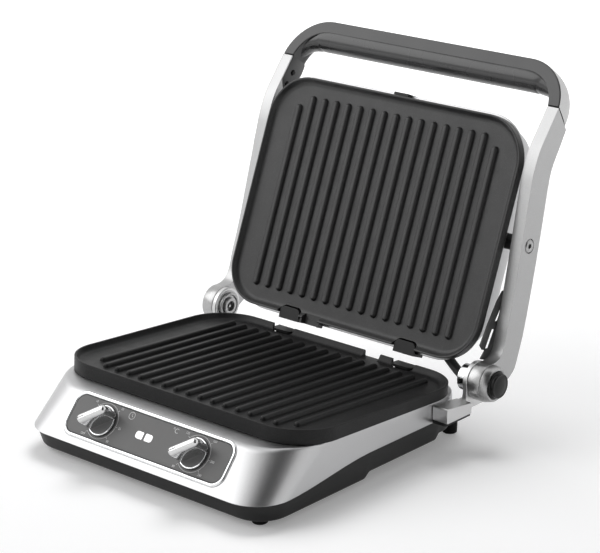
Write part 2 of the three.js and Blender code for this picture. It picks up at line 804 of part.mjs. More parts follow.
const panSideInset = panRecessDepth + panSheet;
const railInner = trayHalfWidth + trayFlange - trayFlange / 2;
const railOuter = trayHalfWidth + trayFlange + seatGap + railSheet;
const flangeBottom = trayTop - traySheet;
const rail = joined(
  box(railOuter - railSheet, railOuter, panStepFront, panRearEdge, flangeBottom - seatGap - railSheet,
    panRearHeight + panSheet / 2),
  box(railInner, railOuter, panStepFront, panRearEdge, flangeBottom - seatGap - railSheet,
    flangeBottom - seatGap));
const leg = box(footSpread - legHalfWidth, footSpread + legHalfWidth, legFront, footRear + footRadius,
  panFloorHeight, legTop);
const legBridge = box(footSpread - legHalfWidth, footSpread + legHalfWidth, legFront, panRearEdge,
  panFloorHeight, panRearHeight + panSheet / 2);
const skirt = box(panHalfWidth - panSideInset, panHalfWidth - panSideInset + skirtSheet, footFront, skirtRear,
  panFloorHeight - skirtDrop, panFloorHeight + panSheet / 2);
const sideCuts = [1, -1].map((sign) => {
  const piece = box(panHalfWidth - panRecessDepth, panHalfWidth + cutOverrun, panRecessFront, panRecessRear,
    -cutOverrun, panRecessHeight);
  return sign > 0 ? piece : mirrored(piece);
});
const panGreaseHole = box(greaseGapCentre - greaseGapHalf, greaseGapCentre + greaseGapHalf,
  -greaseGapReach - plateRimWidth, -plateWall, 0, lowerRimHeight);
const glandHeight = bottomHeight(panRearEdge) - glandDrop;
const glandCut = disc(glandRadius + seatGap, -cutOverrun, cutOverrun + panSheet, 16);
glandCut.rotateX(-Math.PI / 2);
glandCut.translate(glandPlace, panRearEdge - panSheet, glandHeight);
const basePan = cut(
  joined(cut(panBlock(0, 0), panBlock(panSheet, panSideInset)), rail, mirrored(rail), joined(leg, legBridge),
    mirrored(joined(leg, legBridge)), skirt, mirrored(skirt)),
  ...sideCuts, panGreaseHole, glandCut);
place(grill, 'base_pan', basePan, 'blackPlastic');

[['front_left', -1, footFront], ['front_right', 1, footFront], ['rear_left', -1, footRear],
  ['rear_right', 1, footRear]].forEach(([word, sign, y]) => {
  const profile = [[0, 0], [footRadius, 0], [footTopRadius, panFloorHeight - seatGap],
    [0, panFloorHeight - seatGap]];
  const foot = new THREE.LatheGeometry(profile.map(([r, z]) => new THREE.Vector2(r, z)), 20);
  foot.rotateX(Math.PI / 2);
  foot.translate(sign * footSpread, y, 0);
  place(grill, `foot_${word}`, indexed(foot), 'rubber');
});

// Drip tray, sliding out to the back on its flanges
const trayRing = (half, height, grow = 0) => ring(half, trayFront - grow, trayRear + grow, trayCorner,
  height);
const tray = joined(
  loft([
    ring(trayHalfWidth - traySheet, trayFront + traySheet, trayRear - traySheet, trayCorner - traySheet,
      trayBottom + traySheet),
    ring(trayHalfWidth - traySheet, trayFront + traySheet, trayRear - traySheet, trayCorner - traySheet,
      trayTop),
    trayRing(trayHalfWidth + trayFlange, trayTop),
    trayRing(trayHalfWidth + trayFlange, flangeBottom),
    trayRing(trayHalfWidth, flangeBottom),
    trayRing(trayHalfWidth, trayBottom),
  ]),
  box(-trayHalfWidth / 2, trayHalfWidth / 2, trayRear - traySheet / 2, trayRear + trayGripDepth,
    flangeBottom, trayTop));
place(grill, 'drip_tray', tray, 'blackPlastic');

// Cord gland through the rear wall of the base pan
const gland = turned([[glandBore, 0], [glandBore, glandLength], [glandRadius, glandLength],
  [glandRadius, 0], [glandBore, 0]], 0, 0, 16);
gland.rotateZ(Math.PI / 2);
gland.translate(glandPlace, panRearEdge - panSheet, glandHeight);
place(grill, 'cord_gland', gland, 'rubber');

// Plate clips: a tab in the plate's notch, a stem behind the edge and a foot under the carrier
function clipGeometry(side, footDepth, footReach) {
  const outline = (height) => {
    const [low, high] = span(side, -clipTail, clipReach);
    return side > 0
      ? ring(clipWidth / 2, low, high, seatGap, height, clipCorner)
      : ring(clipWidth / 2, low, high, clipCorner, height, seatGap);
  };
  const tab = loft([outline(-clipSink - clipSheet), outline(-clipSink)]);
  const [stemLow, stemHigh] = span(side, -clipTail, -clipTail + clipSheet);
  const stem = box(-clipWidth / 2, clipWidth / 2, stemLow, stemHigh, -footDepth - clipSheet, -clipSink);
  const [footLow, footHigh] = span(side, -clipTail, footReach);
  const foot = box(-clipWidth / 2, clipWidth / 2, footLow, footHigh, -footDepth - clipSheet, -footDepth);
  return joined(tab, stem, foot);
}

const upperFootDepth = upperSkirt + frameSheet + 2 * seatGap;
[['left', upperClipLeft], ['right', upperClipRight]].forEach(([word, x]) => {
  place(headFrame, `upper_clip_${word}`, clipGeometry(1, upperFootDepth, headEnd - seatGap), 'blackPlastic')
    .position.x = x;
});
const lowerClipDepth = lowerSkirtRear - clipSheet;
[['left', lowerClipLeft], ['right', lowerClipRight]].forEach(([word, x]) => {
  place(lowerFrame, `lower_clip_${word}`, clipGeometry(-1, lowerClipDepth, -clipTail + 2 * clipSheet),
    'blackPlastic')
    .position.x = x;
});

// Hinge brackets
function bracketGeometry() {
  const block = sideExtrude([
    [bracketFront, bracketBottom], [postRear, bracketBottom], [postRear, bracketStepTop],
      [bracketRear, bracketStepTop],
    [bracketBreak, bracketStepTop], [bracketBreak, bracketBreakTop], [bracketFront, bracketFrontTop],
  ], bracketInner, bracketEyeOuter);
  const wing = sideExtrude([
    [bracketFront, bracketBottom], [bracketRear, bracketBottom], [bracketRear, bracketStepTop],
    [bracketBreak, bracketStepTop], [bracketBreak, bracketBreakTop], [bracketFront, bracketFrontTop],
  ], bracketInner, bracketOuter);
  const post = sideExtrude([
    [bracketBreak + seatGap, bracketStepTop - cutOverrun], [postRear, bracketStepTop - cutOverrun],
    [postRear, hingeHeight], [hingeBack - bracketEyeRadius / 2, hingeHeight],
  ], bracketEyeInner, bracketEyeOuter);
  const eye = barrel(bracketEyeRadius, bracketEyeInner, bracketEyeOuter, hingeBack, hingeHeight);
  const trimmed = cut(eye, box(bracketInner, bracketOuter, postRear,
    hingeBack + bracketEyeRadius + cutOverrun,
    0, hingeHeight));
  return cut(joined(block, wing, post, trimmed),
    barrel(pinRadius + seatGap, bracketInner - cutOverrun, bracketEyeOuter + cutOverrun, hingeBack,
      hingeHeight));
}
place(grill, 'hinge_bracket_right', bracketGeometry(), 'cast');
place(grill, 'hinge_bracket_left', mirrored(bracketGeometry()), 'cast');

// Hinge pins: the left one has a cross slot in its head, the right one sits behind the chrome boss
const pinEnd = armOuter - seatGap;
const leftPin = cut(
  turned([[0, pinHeadFace], [pinHeadRadius, pinHeadFace],
    [pinHeadRadius, bracketEyeInner - seatGap - pinCollarSheet / 2],
    [pinCollarRadius, bracketEyeInner - seatGap - pinCollarSheet / 2],
      [pinCollarRadius, bracketEyeInner - seatGap],
    [pinRadius, bracketEyeInner - seatGap], [pinRadius, pinEnd], [0, pinEnd], [0, pinHeadFace]], hingeBack,
      hingeHeight),
  box(pinHeadFace - cutOverrun, pinHeadFace + pinSlotDepth, hingeBack - pinSlotLength / 2,
    hingeBack + pinSlotLength / 2,
    hingeHeight - pinSlotWidth / 2, hingeHeight + pinSlotWidth / 2),
  box(pinHeadFace - cutOverrun, pinHeadFace + pinSlotDepth, hingeBack - pinSlotWidth / 2,
    hingeBack + pinSlotWidth / 2,
    hingeHeight - pinSlotLength / 2, hingeHeight + pinSlotLength / 2));
place(grill, 'hinge_pin_left', mirrored(leftPin), 'steel');
place(grill, 'hinge_pin_right', barrel(pinRadius, bracketEyeInner, pinEnd, hingeBack, hingeHeight), 'steel');
place(grill, 'hinge_boss', turned([[0, bossInner + bossBoreDepth], [bossBore, bossInner + bossBoreDepth],
  [bossBore, bossInner], [bossRadius, bossInner], [bossRadius, bracketEyeInner - seatGap],
  [0, bracketEyeInner - seatGap], [0, bossInner + bossBoreDepth]], hingeBack, hingeHeight), 'chrome');

// Lid arms, leaning in above the hinge. Their outlines are shares of the line from the hinge to the handle.
const armReach = [handleBack - hingeBack, handleHeight - hingeHeight];

function onArm([along, across]) {
  return [hingeBack + along * armReach[0] - across * armReach[1],
    hingeHeight + along * armReach[1] + across * armReach[0]];
}

function leanShift(z) {
  const share = THREE.MathUtils.inverseLerp(armLeanShares[0], armLeanShares[1],
    (z - hingeHeight) / armReach[1]);
  return -armLean * THREE.MathUtils.clamp(share, 0, 1);
}

const pivotBack = upperEdgeBack + pivotAlong * Math.cos(upperLean) + pivotBehind * Math.sin(upperLean);
const pivotHeight = upperEdgeHeight + pivotAlong * Math.sin(upperLean) - pivotBehind * Math.cos(upperLean);

const armOuterAtPivot = armOuter + leanShift(pivotHeight);
const armInnerAtPivot = armOuterAtPivot - armThickness;
const capSeat = armOuterAtPivot - capSheet / 2;

function armGeometry() {
  const inner = armOuter - armThickness;
  const limb = indexed(sideExtrude([...armFrontShares, ...armBackShares].map(onArm), inner, armOuter));
  const position = limb.attributes.position;
  for (let i = 0; i < position.count; i += 1) {
    position.setX(i, position.getX(i) + leanShift(position.getZ(i)));
  }
  const knuckle = barrel(bracketEyeRadius, bracketEyeOuter + seatGap, armOuter, hingeBack, hingeHeight);
  return cut(joined(limb, knuckle),
    barrel(pinRadius + runningGap, inner - cutOverrun, armOuter + cutOverrun, hingeBack, hingeHeight),
    barrel(pivotPinRadius + runningGap, inner - armThickness, armOuter + cutOverrun, pivotBack,
      pivotHeight, 20),
    barrel(capRadius + seatGap, capSeat, armOuter + cutOverrun, pivotBack, pivotHeight, 20));
}
place(grill, 'arm_right', armGeometry(), 'cast');
place(grill, 'arm_left', mirrored(armGeometry()), 'cast');

// Pivot caps on the arms and pivot pins on the head
const capFace = capSeat + seatGap + capSheet;
const cap = turned([[0, capSeat + seatGap], [capRadius, capSeat + seatGap],
  [capRadius, capFace - capSheet / 2],
  [capRadius - capSheet, capFace], [capDotRadius, capFace], [capDotRadius, capFace - capSheet / 2],
  [0, capFace - capSheet / 2], [0, capSeat + seatGap]], pivotBack, pivotHeight, 20);
const pivotPin = turned([[0, headHalfWidth + seatGap], [pivotStubRadius, headHalfWidth + seatGap],
  [pivotStubRadius, armInnerAtPivot - 2 * seatGap], [pivotPinRadius, armInnerAtPivot - 2 * seatGap],
  [pivotPinRadius, capSeat - seatGap], [0, capSeat - seatGap],
  [0, headHalfWidth + seatGap]], pivotBack, pivotHeight, 20);
place(grill, 'pivot_cap_right', cap, 'steel');
place(grill, 'pivot_cap_left', mirrored(cap), 'steel');
place(grill, 'pivot_pin_right', pivotPin, 'blackPlastic');
place(grill, 'pivot_pin_left', mirrored(pivotPin), 'blackPlastic');

// Release collar and button on the right knuckle
place(grill, 'release_collar', turned([[collarBore, collarStart], [collarRadius, collarStart],
  [collarEndRadius, collarEnd], [collarBore, collarEnd], [collarBore, collarStart]], hingeBack,
    hingeHeight), 'steel');
place(grill, 'release_button', turned([[0, buttonEnd - buttonDepth], [buttonRadius, buttonEnd - buttonDepth],
  [buttonRadius, buttonEnd - buttonRound], [buttonRadius - buttonRound, buttonEnd - buttonRound / 4],
  [buttonRadius / 2, buttonEnd], [0, buttonEnd], [0, buttonEnd - buttonDepth]], hingeBack, hingeHeight),
    'glossBlack');

// Cable guide on the inner face of the right arm
function slotGeometry([from, to]) {
  const along = new THREE.Vector2(to[0] - from[0], to[1] - from[1]);
  const across = new THREE.Vector2(-along.y, along.x).setLength(guideSlotWidth / 2);
  return sideExtrude([
    [from[0] - across.x, from[1] - across.y], [to[0] - across.x, to[1] - across.y],
    [to[0] + across.x, to[1] + across.y], [from[0] + across.x, from[1] + across.y],
  ], guideInner - cutOverrun, guideInner + guideSheet + cutOverrun);
}
place(grill, 'cable_guide',
  cut(sideExtrude(guideEdgeShares.map(onArm), guideInner, guideInner + guideSheet),
    slotGeometry(guideSlotLowShares.map(onArm)), slotGeometry(guideSlotHighShares.map(onArm))),
      'blackPlastic');

// Handle: an arched shell over the arms' ends, with a round bar under its top
function archRing(half, top, radius, foot, height) {
  return ring(half, foot, top, seatGap, height, radius);
}
const footLow = -handleTop;
const arch = cut(
  loft([archRing(handleOuter, handleTop, handleCorner, footLow, -handleDepth),
    archRing(handleOuter, handleTop, handleCorner, footLow, 0)]),
  loft([archRing(handleOuter - handleBand, handleTop - handleBand, handleCorner - handleBand,
    footLow - cutOverrun,
    -handleDepth - cutOverrun),
  archRing(handleOuter - handleBand, handleTop - handleBand, handleCorner - handleBand, footLow - cutOverrun,
    cutOverrun)]),
  barrel(gripBarRadius + seatGap, -gripBarHalf - seatGap, gripBarHalf + seatGap, gripBarUp, -gripBarBack, 24),
  sideExtrude([[cutOverrun, cutOverrun], [-handleFootDrop, -handleDepth],
    [-handleFootDrop, -handleDepth - cutOverrun],
    [footLow - cutOverrun, -handleDepth - cutOverrun], [footLow - cutOverrun, cutOverrun]],
  -handleOuter - cutOverrun, handleOuter + cutOverrun));
arch.rotateX(toRad(handleLeanDeg));
arch.translate(0, handleBack, handleHeight);
const cheekEdge = cheekEdgeShares.map(onArm);
const cheek = joined(
  sideExtrude(cheekEdge, cheekInner, cheekInner + cheekSheet),
  sideExtrude([cheekEdge[0], cheekEdge[5], cheekEdge[6]].map(([y, z]) => [y + seatGap, z + 2 * seatGap]),
    cheekInner + cheekSheet / 2, handleOuter - handleBand / 2));
place(grill, 'handle_shell', joined(arch, cheek, mirrored(cheek)), 'handleGrey');
place(handleFrame, 'handle_grip',
  barrel(gripBarRadius, -gripBarHalf, gripBarHalf, gripBarUp, -gripBarBack, 24), 'handleGrey');

['right', 'left'].forEach((word) => {
  screwShares.map(onArm).forEach(([y, z], i) => {
    const face = cheekInner - seatGap;
    const screw = cut(
      turned([[0, face - screwHeight], [screwRadius - screwHeight / 2, face - screwHeight],
        [screwRadius, face],
        [0, face], [0, face - screwHeight]], y, z, 16),
      box(face - screwHeight - cutOverrun, face - screwHeight + screwSlotDepth, y - screwRadius,
        y + screwRadius,
        z - screwSlot / 2, z + screwSlot / 2));
    place(grill, `handle_screw_${word}_${i + 1}`, word === 'right' ? screw : mirrored(screw), 'steel');
  });
});

// Upper head: frame ring, shell, heater and the plate's release latch
const frameTop = -upperSkirt - seatGap;
const frameLow = frameTop - frameSheet;
const frameRingAt = (inset, height) => ring(frameHalfWidth - inset, frameInset + inset,
  plateDepth - frameInset - inset,
  frameCorner - inset, height);
place(headFrame, 'upper_frame', loft([
  frameRingAt(0, frameLow), frameRingAt(0, frameTop), frameRingAt(frameRing, frameTop),
    frameRingAt(frameRing, frameLow),
], true), 'blackPlastic');

const chamferEnd = headEnd + headChamferLength;
const backAt = (inset) => (y) => -headDepth + inset
  + headChamferDepth * THREE.MathUtils.clamp((chamferEnd - y) / headChamferLength, 0, 1);
const headRing = (inset, height) => ring(headHalfWidth - inset, headEnd + inset, plateDepth - headEnd - inset,
  headCorner - inset, height);
const headTop = frameLow - seatGap;
const sideAt = (share) => (y) => THREE.MathUtils.lerp(headTop, backAt(0)(y), share);
const sideShare = 0.62;
const cornerShare = 0.9;
const upperShell = loft([
  headRing(headWall + headRound, backAt(headWall)),
  headRing(headWall, sideAt(sideShare)),
  headRing(headWall, headTop),
  headRing(0, headTop),
  headRing(0, sideAt(sideShare)),
  headRing(headRound / 3, sideAt(cornerShare)),
  headRing(headRound, backAt(0)),
]);
place(headFrame, 'upper_housing', upperShell, 'silver');

place(headFrame, 'upper_heat_pan', heatPanGeometry(1, () => headTop), 'heatPan');
place(headFrame, 'upper_heating_element', elementGeometry(1), 'element');

const latchWall = plateDepth - headEnd + seatGap;
const latchTabLow = plateDepth + seatGap;
place(headFrame, 'upper_latch', joined(
  box(-latchHalfWidth, latchHalfWidth, latchTabLow, latchTabLow + latchSheet, headTop - latchSheet,
    -latchTop),
  box(-latchHalfWidth, latchHalfWidth, latchWall, latchTabLow + latchSheet, headTop - latchSheet, headTop),
), 'blackPlastic');

// Wire sleeve from the boss up behind the upper plate
const sleeveSection = new THREE.Shape();
sleeveSection.absarc(0, 0, sleeveRadius, 0, 2 * Math.PI);
const sleeveCurve = new THREE.CatmullRomCurve3(sleeveOffsets.map(([x, y, z]) => new THREE.Vector3(
  bossInner + x, hingeBack + y, hingeHeight + z)));
place(grill, 'wire_sleeve',
  new THREE.ExtrudeGeometry(sleeveSection, { steps: 12, curveSegments: 5, extrudePath: sleeveCurve }),
    'braid');

// The origin sits under the middle of the whole grill
grill.updateMatrixWorld(true);
const extent = new THREE.Box3().setFromObject(grill, true);
grill.position.set(-(extent.min.x + extent.max.x) / 2, -(extent.min.y + extent.max.y) / 2, -extent.min.z);

export default grill;
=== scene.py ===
import json
import math

import bmesh
import bpy
from mathutils import Matrix, Vector


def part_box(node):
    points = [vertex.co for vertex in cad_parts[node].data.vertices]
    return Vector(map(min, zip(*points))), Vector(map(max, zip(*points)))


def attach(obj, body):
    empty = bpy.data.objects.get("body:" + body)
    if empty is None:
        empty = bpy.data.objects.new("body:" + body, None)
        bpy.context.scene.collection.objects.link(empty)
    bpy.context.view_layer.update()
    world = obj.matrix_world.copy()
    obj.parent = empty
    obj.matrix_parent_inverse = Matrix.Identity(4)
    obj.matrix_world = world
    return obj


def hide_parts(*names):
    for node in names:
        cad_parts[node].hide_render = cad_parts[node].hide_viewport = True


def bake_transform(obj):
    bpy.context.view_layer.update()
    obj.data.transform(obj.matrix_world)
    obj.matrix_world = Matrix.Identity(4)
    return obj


# Contact grill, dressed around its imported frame

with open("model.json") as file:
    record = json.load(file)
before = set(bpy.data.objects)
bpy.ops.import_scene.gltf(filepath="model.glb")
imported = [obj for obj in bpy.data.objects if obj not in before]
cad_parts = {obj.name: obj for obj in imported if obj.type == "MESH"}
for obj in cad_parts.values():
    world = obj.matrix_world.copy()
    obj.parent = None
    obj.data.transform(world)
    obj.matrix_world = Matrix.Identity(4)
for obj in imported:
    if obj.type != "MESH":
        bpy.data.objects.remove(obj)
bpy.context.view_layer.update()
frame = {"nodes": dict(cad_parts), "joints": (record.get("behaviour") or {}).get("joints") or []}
joints = {j["name"]: j for j in frame["joints"]}
mm = 0.001
tip = 0.001  # radius that closes the end of a turned profile
print("frame loaded with", len(frame["nodes"]), "nodes")


# Mesh helpers. Shapes are written in millimetres and placed by a matrix in metres.
def turns(count):
    return [(math.cos(2 * math.pi * i / count), math.sin(2 * math.pi * i / count)) for i in range(count)]


def shifted(place, x, y, z=0):
    return place @ Matrix.Translation((x * mm, y * mm, z * mm))


def turned(degrees, axis="X"):
    return Matrix.Rotation(math.radians(degrees), 4, axis)


def ringPoints(halfWidth, low, high, radius, height, farRadius=None, steps=16, breaks=()):
    # a rounded rectangle; breaks are places along Y where its straight sides get a point
    farRadius = radius if farRadius is None else farRadius
    points = []
    for quarter in range(4):
        sideX = 1 if quarter in (0, 3) else -1
        r = farRadius if quarter < 2 else radius
        centreY = high - r if quarter < 2 else low + r
        for step in range(steps + 1):
            angle = (quarter + step / steps) * math.pi / 2
            points.append((sideX * (halfWidth - r) + r * math.cos(angle), centreY + r * math.sin(angle)))
        if quarter in (1, 3):
            points += [(sideX * halfWidth, y) for y in sorted(breaks, reverse=quarter == 1)]
    return [Vector((x, y, height(y) if callable(height) else height)) for x, y in points]


def bend(a, corner, b, t):
    return a * (1 - t) ** 2 + corner * 2 * t * (1 - t) + b * t * t


def roundedChain(rings, radii, steps=4, closed=False):
    # swaps each ring that has a radius for a short curve between its neighbours
    out = []
    for k, ring in enumerate(rings):
        r = radii[k]
        if not r or (not closed and k in (0, len(rings) - 1)):
            out.append(ring)
            continue
        before, after = rings[k - 1], rings[(k + 1) % len(rings)]
        for step in range(steps + 1):
            points = []
            for p, q, s in zip(before, ring, after):
                a = q + (p - q).normalized() * min(r, (p - q).length * 0.5)
                b = q + (s - q).normalized() * min(r, (s - q).length * 0.5)
                points.append(bend(a, q, b, step / steps))
            out.append(points)
    return out


def addObject(name, data):
    obj = bpy.data.objects.new(name, data)
    bpy.context.scene.collection.objects.link(obj)
    return obj


def smoothMesh(mesh, angle=35):
    mesh.polygons.foreach_set("use_smooth", [True] * len(mesh.polygons))
    mesh.set_sharp_from_angle(angle=math.radians(angle))


def finishMesh(name, verts, faces, placing, angle=35):
    mesh = bpy.data.meshes.new(name)
    mesh.from_pydata([tuple(v) for v in verts], [], faces)
    mesh.transform(placing @ Matrix.Scale(mm, 4))
    work = bmesh.new()
    work.from_mesh(mesh)
    bmesh.ops.remove_doubles(work, verts=work.verts, dist=2e-6)
    bmesh.ops.recalc_face_normals(work, faces=work.faces)
    work.to_mesh(mesh)
    work.free()
    smoothMesh(mesh, angle)
    return addObject(name, mesh)


def loftParts(rings, closed=False):
    count = len(rings[0])
    verts = [p for ring in rings for p in ring]
    faces = []
    for band in range(len(rings) if closed else len(rings) - 1):
        low, high = band * count, ((band + 1) % len(rings)) * count
        for i in range(count):
            j = (i + 1) % count
            faces.append((low + i, low + j, high + j, high + i))
    if not closed:
        faces.append(tuple(reversed(range(count))))
        faces.append(tuple(range(len(verts) - count, len(verts))))
    return verts, faces


def joinParts(parts):
    verts, faces = [], []
    for more, moreFaces in parts:
        faces += [tuple(i + len(verts) for i in face) for face in moreFaces]
        verts += more
    return verts, faces


def loft(name, rings, placing, closed=False, angle=35):
    return finishMesh(name, *loftParts(rings, closed), placing, angle)


def lathe(name, profile, placing, segments=64, angle=35, closed=False):
    # a profile of radius and height turned about local Z; closed for a ring with a bore
    rings = [[Vector((radius * c, radius * s, height)) for c, s in turns(segments)] for radius, height in profile]
    return loft(name, rings, placing, closed, angle)


def extrudeOutline(name, outline, low, high, placing, angle=35):
    # an outline in local X and Y pushed along Z
    count = len(outline)
    verts = [Vector((x, y, z)) for z in (low, high) for x, y in outline]
    faces = [tuple(range(count)), tuple(range(2 * count - 1, count - 1, -1))]
    faces += [(i, (i + 1) % count, (i + 1) % count + count, i + count) for i in range(count)]
    return finishMesh(name, verts, faces, placing, angle)


def roundCorners(points, radii, steps=6):
    # replaces each corner of an outline by an arc that touches both sides
    out = []
    for i, point in enumerate(points):
        q = Vector(point)
        p, s = Vector(points[i - 1]), Vector(points[(i + 1) % len(points)])
        r = radii[i] if isinstance(radii, (list, tuple)) else radii
        a, b = (p - q), (s - q)
        half = a.angle(b) / 2
        reach = min(r / math.tan(half), a.length * 0.48, b.length * 0.48) if r else 0
        if reach < 0.01:
            out.append(tuple(q))
            continue
        a, b = q + a.normalized() * reach, q + b.normalized() * reach
        out += [tuple(bend(a, q, b, step / steps)) for step in range(steps + 1)]
    return out


def polar(centre, radius, degrees):
    angle = math.radians(degrees)
    return centre[0] + radius * math.cos(angle), centre[1] + radius * math.sin(angle)


def circlePoints(centre, radius, start, end, steps):
    return [polar(centre, radius, start + (end - start) * i / steps) for i in range(steps + 1)]


def onCurve(points, t):
    # a Catmull-Rom curve through the points, t from 0 to 1
    s = t * (len(points) - 1)
    i = min(int(s), len(points) - 2)
    f = s - i
    p = [Vector(points[min(max(k, 0), len(points) - 1)]) for k in (i - 1, i, i + 1, i + 2)]
    return 0.5 * (2 * p[1] + (p[2] - p[0]) * f + (2 * p[0] - 5 * p[1] + 4 * p[2] - p[3]) * f * f
                  + (3 * p[1] - p[0] - 3 * p[2] + p[3]) * f ** 3)


def smoothLine(points, count):
    return [tuple(onCurve(points, k / count)) for k in range(count + 1)]


def sideways(line, i):
    # the direction square to a flat line at its point i
    along = (Vector(line[min(i + 1, len(line) - 1)]) - Vector(line[max(i - 1, 0)])).normalized()
    return Vector((-along.y, along.x, 0))


def evenNormals(obj):
    # keeps large flat faces flat beside small rounded edges
    step = obj.modifiers.new("evenNormals", "WEIGHTED_NORMAL")
    step.keep_sharp, step.weight = True, 60
    return obj


def solvedMesh(obj):
    bpy.context.view_layer.update()
    return bpy.data.meshes.new_from_object(obj.evaluated_get(bpy.context.evaluated_depsgraph_get()))


def applyModifiers(obj):
    solved = solvedMesh(obj)
    obj.modifiers.clear()
    obj.data = solved
    return obj


def combine(obj, others, operation="DIFFERENCE", angle=35):
    obj.modifiers.clear()
    for other in others:
        step = obj.modifiers.new("combine", "BOOLEAN")
        step.operation, step.solver, step.object = operation, "EXACT", other
    applyModifiers(obj)
    for other in others:
        bpy.data.objects.remove(other)
    smoothMesh(obj.data, angle)
    return obj


def bevel(obj, width, segments=3, angle=30):
    step = obj.modifiers.new("bevel", "BEVEL")
    step.width, step.segments, step.limit_method = width * mm, segments, "ANGLE"
    step.angle_limit, step.harden_normals, step.miter_outer = math.radians(angle), True, "MITER_ARC"
    return obj


def bakeBevel(obj, width, segments=3, angle=30):
    bevel(obj, width, segments, angle)
    obj.modifiers["bevel"].harden_normals = False
    applyModifiers(obj)
    smoothMesh(obj.data, 40)
    return evenNormals(obj)


def paint(obj, material):
    obj.data.materials.clear()
    obj.data.materials.append(material)
    return obj


def dress(obj, material, body=None, nodes=()):
    paint(obj, material)
    if body:
        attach(obj, body)
    if nodes:
        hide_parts(*nodes)
    return obj


# Places taken from the frame
def pointOf(joint):
    return Vector(joints[joint]["pos_m"])


latchAxis = joints["upper_latch_slide"]["axis"]
leanDegrees = math.degrees(math.atan2(latchAxis[2], latchAxis[1]))
places = {"lowerTilt": -3.93, "tipDepth": 4.0, "panelSlope": 50.2, "knobUp": 3.8, "handleLean": 55.5}
plateLow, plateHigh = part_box("lower_grill_plate")
middleX = (plateLow.x + plateHigh.x) / 2


def centred(point):
    return Matrix.Translation(Vector((middleX, point.y, point.z)))


lowerFrame = shifted(centred(pointOf("lower_plate_tip")) @ turned(places["lowerTilt"]), 0, 0, places["tipDepth"])
headFrame = shifted(centred(pointOf("upper_plate_tip")) @ turned(leanDegrees), 0, 0, places["tipDepth"])
panelFrame = shifted(centred(pointOf("timer_turn")) @ turned(places["panelSlope"]), 0, -places["knobUp"])
baseFrame = Matrix.Translation((middleX, lowerFrame.translation.y, 0))


# Materials. A colour is one grey level, three levels or another node's output.
def rgba(colour):
    if isinstance(colour, (int, float)):
        colour = (colour,) * 3
    return (*colour, 1) if isinstance(colour, tuple) else colour


def feed(tree, node, values):
    # each value is a number, a colour or another node's output
    for key, value in values.items():
        if isinstance(value, bpy.types.NodeSocket):
            tree.links.new(value, node.inputs[key])
        else:
            node.inputs[key].default_value = value
    return node.outputs


def addNode(tree, kind, values, operation=None):
    node = tree.nodes.new("ShaderNode" + kind)
    if operation:
        node.operation = operation
    if kind == "Mix":
        node.data_type = "RGBA"
    return feed(tree, node, values)


def startMaterial(name, colour, roughness, metallic=0.0):
    material = bpy.data.materials.new(name)
    material.use_nodes = True
    tree = material.node_tree
    shader = tree.nodes["Principled BSDF"]
    feed(tree, shader, {"Base Color": rgba(colour), "Roughness": roughness, "Metallic": metallic})
    return material, tree, shader


def noise(tree, scale, detail, stretch=(1, 1, 1)):
    place = addNode(tree, "TexCoord", {})["Object"]
    place = addNode(tree, "Mapping", {"Vector": place, "Scale": stretch})["Vector"]
    return addNode(tree, "TexNoise", {"Vector": place, "Scale": scale, "Detail": detail})["Fac"]


def spread(tree, source, low, high, start=0.3, end=0.7):
    return addNode(tree, "MapRange", {"Value": source, "From Min": start, "From Max": end, "To Min": low,
                                      "To Max": high})["Result"]


def mixed(tree, factor, dark, light):
    return addNode(tree, "Mix", {0: factor, 6: rgba(dark), 7: rgba(light)})[2]


def bumps(tree, height, strength, distance):
    return addNode(tree, "Bump", {"Height": height, "Strength": strength, "Distance": distance})["Normal"]


def seenRays(tree):
    # 1 for what the camera sees, also in a mirror or through glass, and 0 for light that falls on a surface
    path = addNode(tree, "LightPath", {})
    seen = path["Is Camera Ray"]
    for ray in ("Is Transmission Ray", "Is Glossy Ray"):
        seen = addNode(tree, "Math", {0: seen, 1: path[ray]}, "MAXIMUM")[0]
    return seen


def grainedMetal(name, dark, light, roughness, bumpStrength=0.08, scale=900, stretch=(1, 1, 1)):
    material, tree, shader = startMaterial(name, light, roughness, 1.0)
    grain = noise(tree, scale, 4, stretch)
    feed(tree, shader, {"Base Color": mixed(tree, spread(tree, grain, 0, 1), dark, light),
                        "Roughness": spread(tree, grain, roughness - 0.05, roughness + 0.07),
                        "Normal": bumps(tree, grain, bumpStrength, 0.00005)})
    return material


def grainedPlastic(name, dark, light, roughness, scale=1400, bumpStrength=0.15, coat=0.0, specular=0.5):
    material, tree, shader = startMaterial(name, light, roughness)
    grain, cloud = noise(tree, scale, 2), noise(tree, 35, 3)
    feed(tree, shader, {"Base Color": mixed(tree, spread(tree, cloud, 0, 1), dark, light),
                        "Roughness": spread(tree, cloud, roughness - 0.04, roughness + 0.05),
                        "Normal": bumps(tree, grain, bumpStrength, 0.00006),
                        "Coat Weight": coat, "Specular IOR Level": specular})
    return material


def nonStickCoating(name, dark, light, fleckColour, roughness, specular):
    material, tree, shader = startMaterial(name, light, roughness)
    cloud, fleck = noise(tree, 60, 4), noise(tree, 2600, 1)
    flecks = spread(tree, fleck, 0, 0.55, 0.60, 0.74)
    feed(tree, shader, {"Base Color": mixed(tree, flecks, mixed(tree, cloud, dark, light), fleckColour),
                        "Roughness": spread(tree, cloud, roughness - 0.04, roughness + 0.06),
                        "Normal": bumps(tree, fleck, 0.25, 0.00008), "Specular IOR Level": specular})
    return material


def glowingLens():
    material, tree, shader = startMaterial("windowGlow", 0.85, 0.25)
    feed(tree, shader, {"Base Color": mixed(tree, noise(tree, 400, 2), 0.80, 0.92), "Emission Color": rgba(1),
                        "Emission Strength": 0.8})
    return material


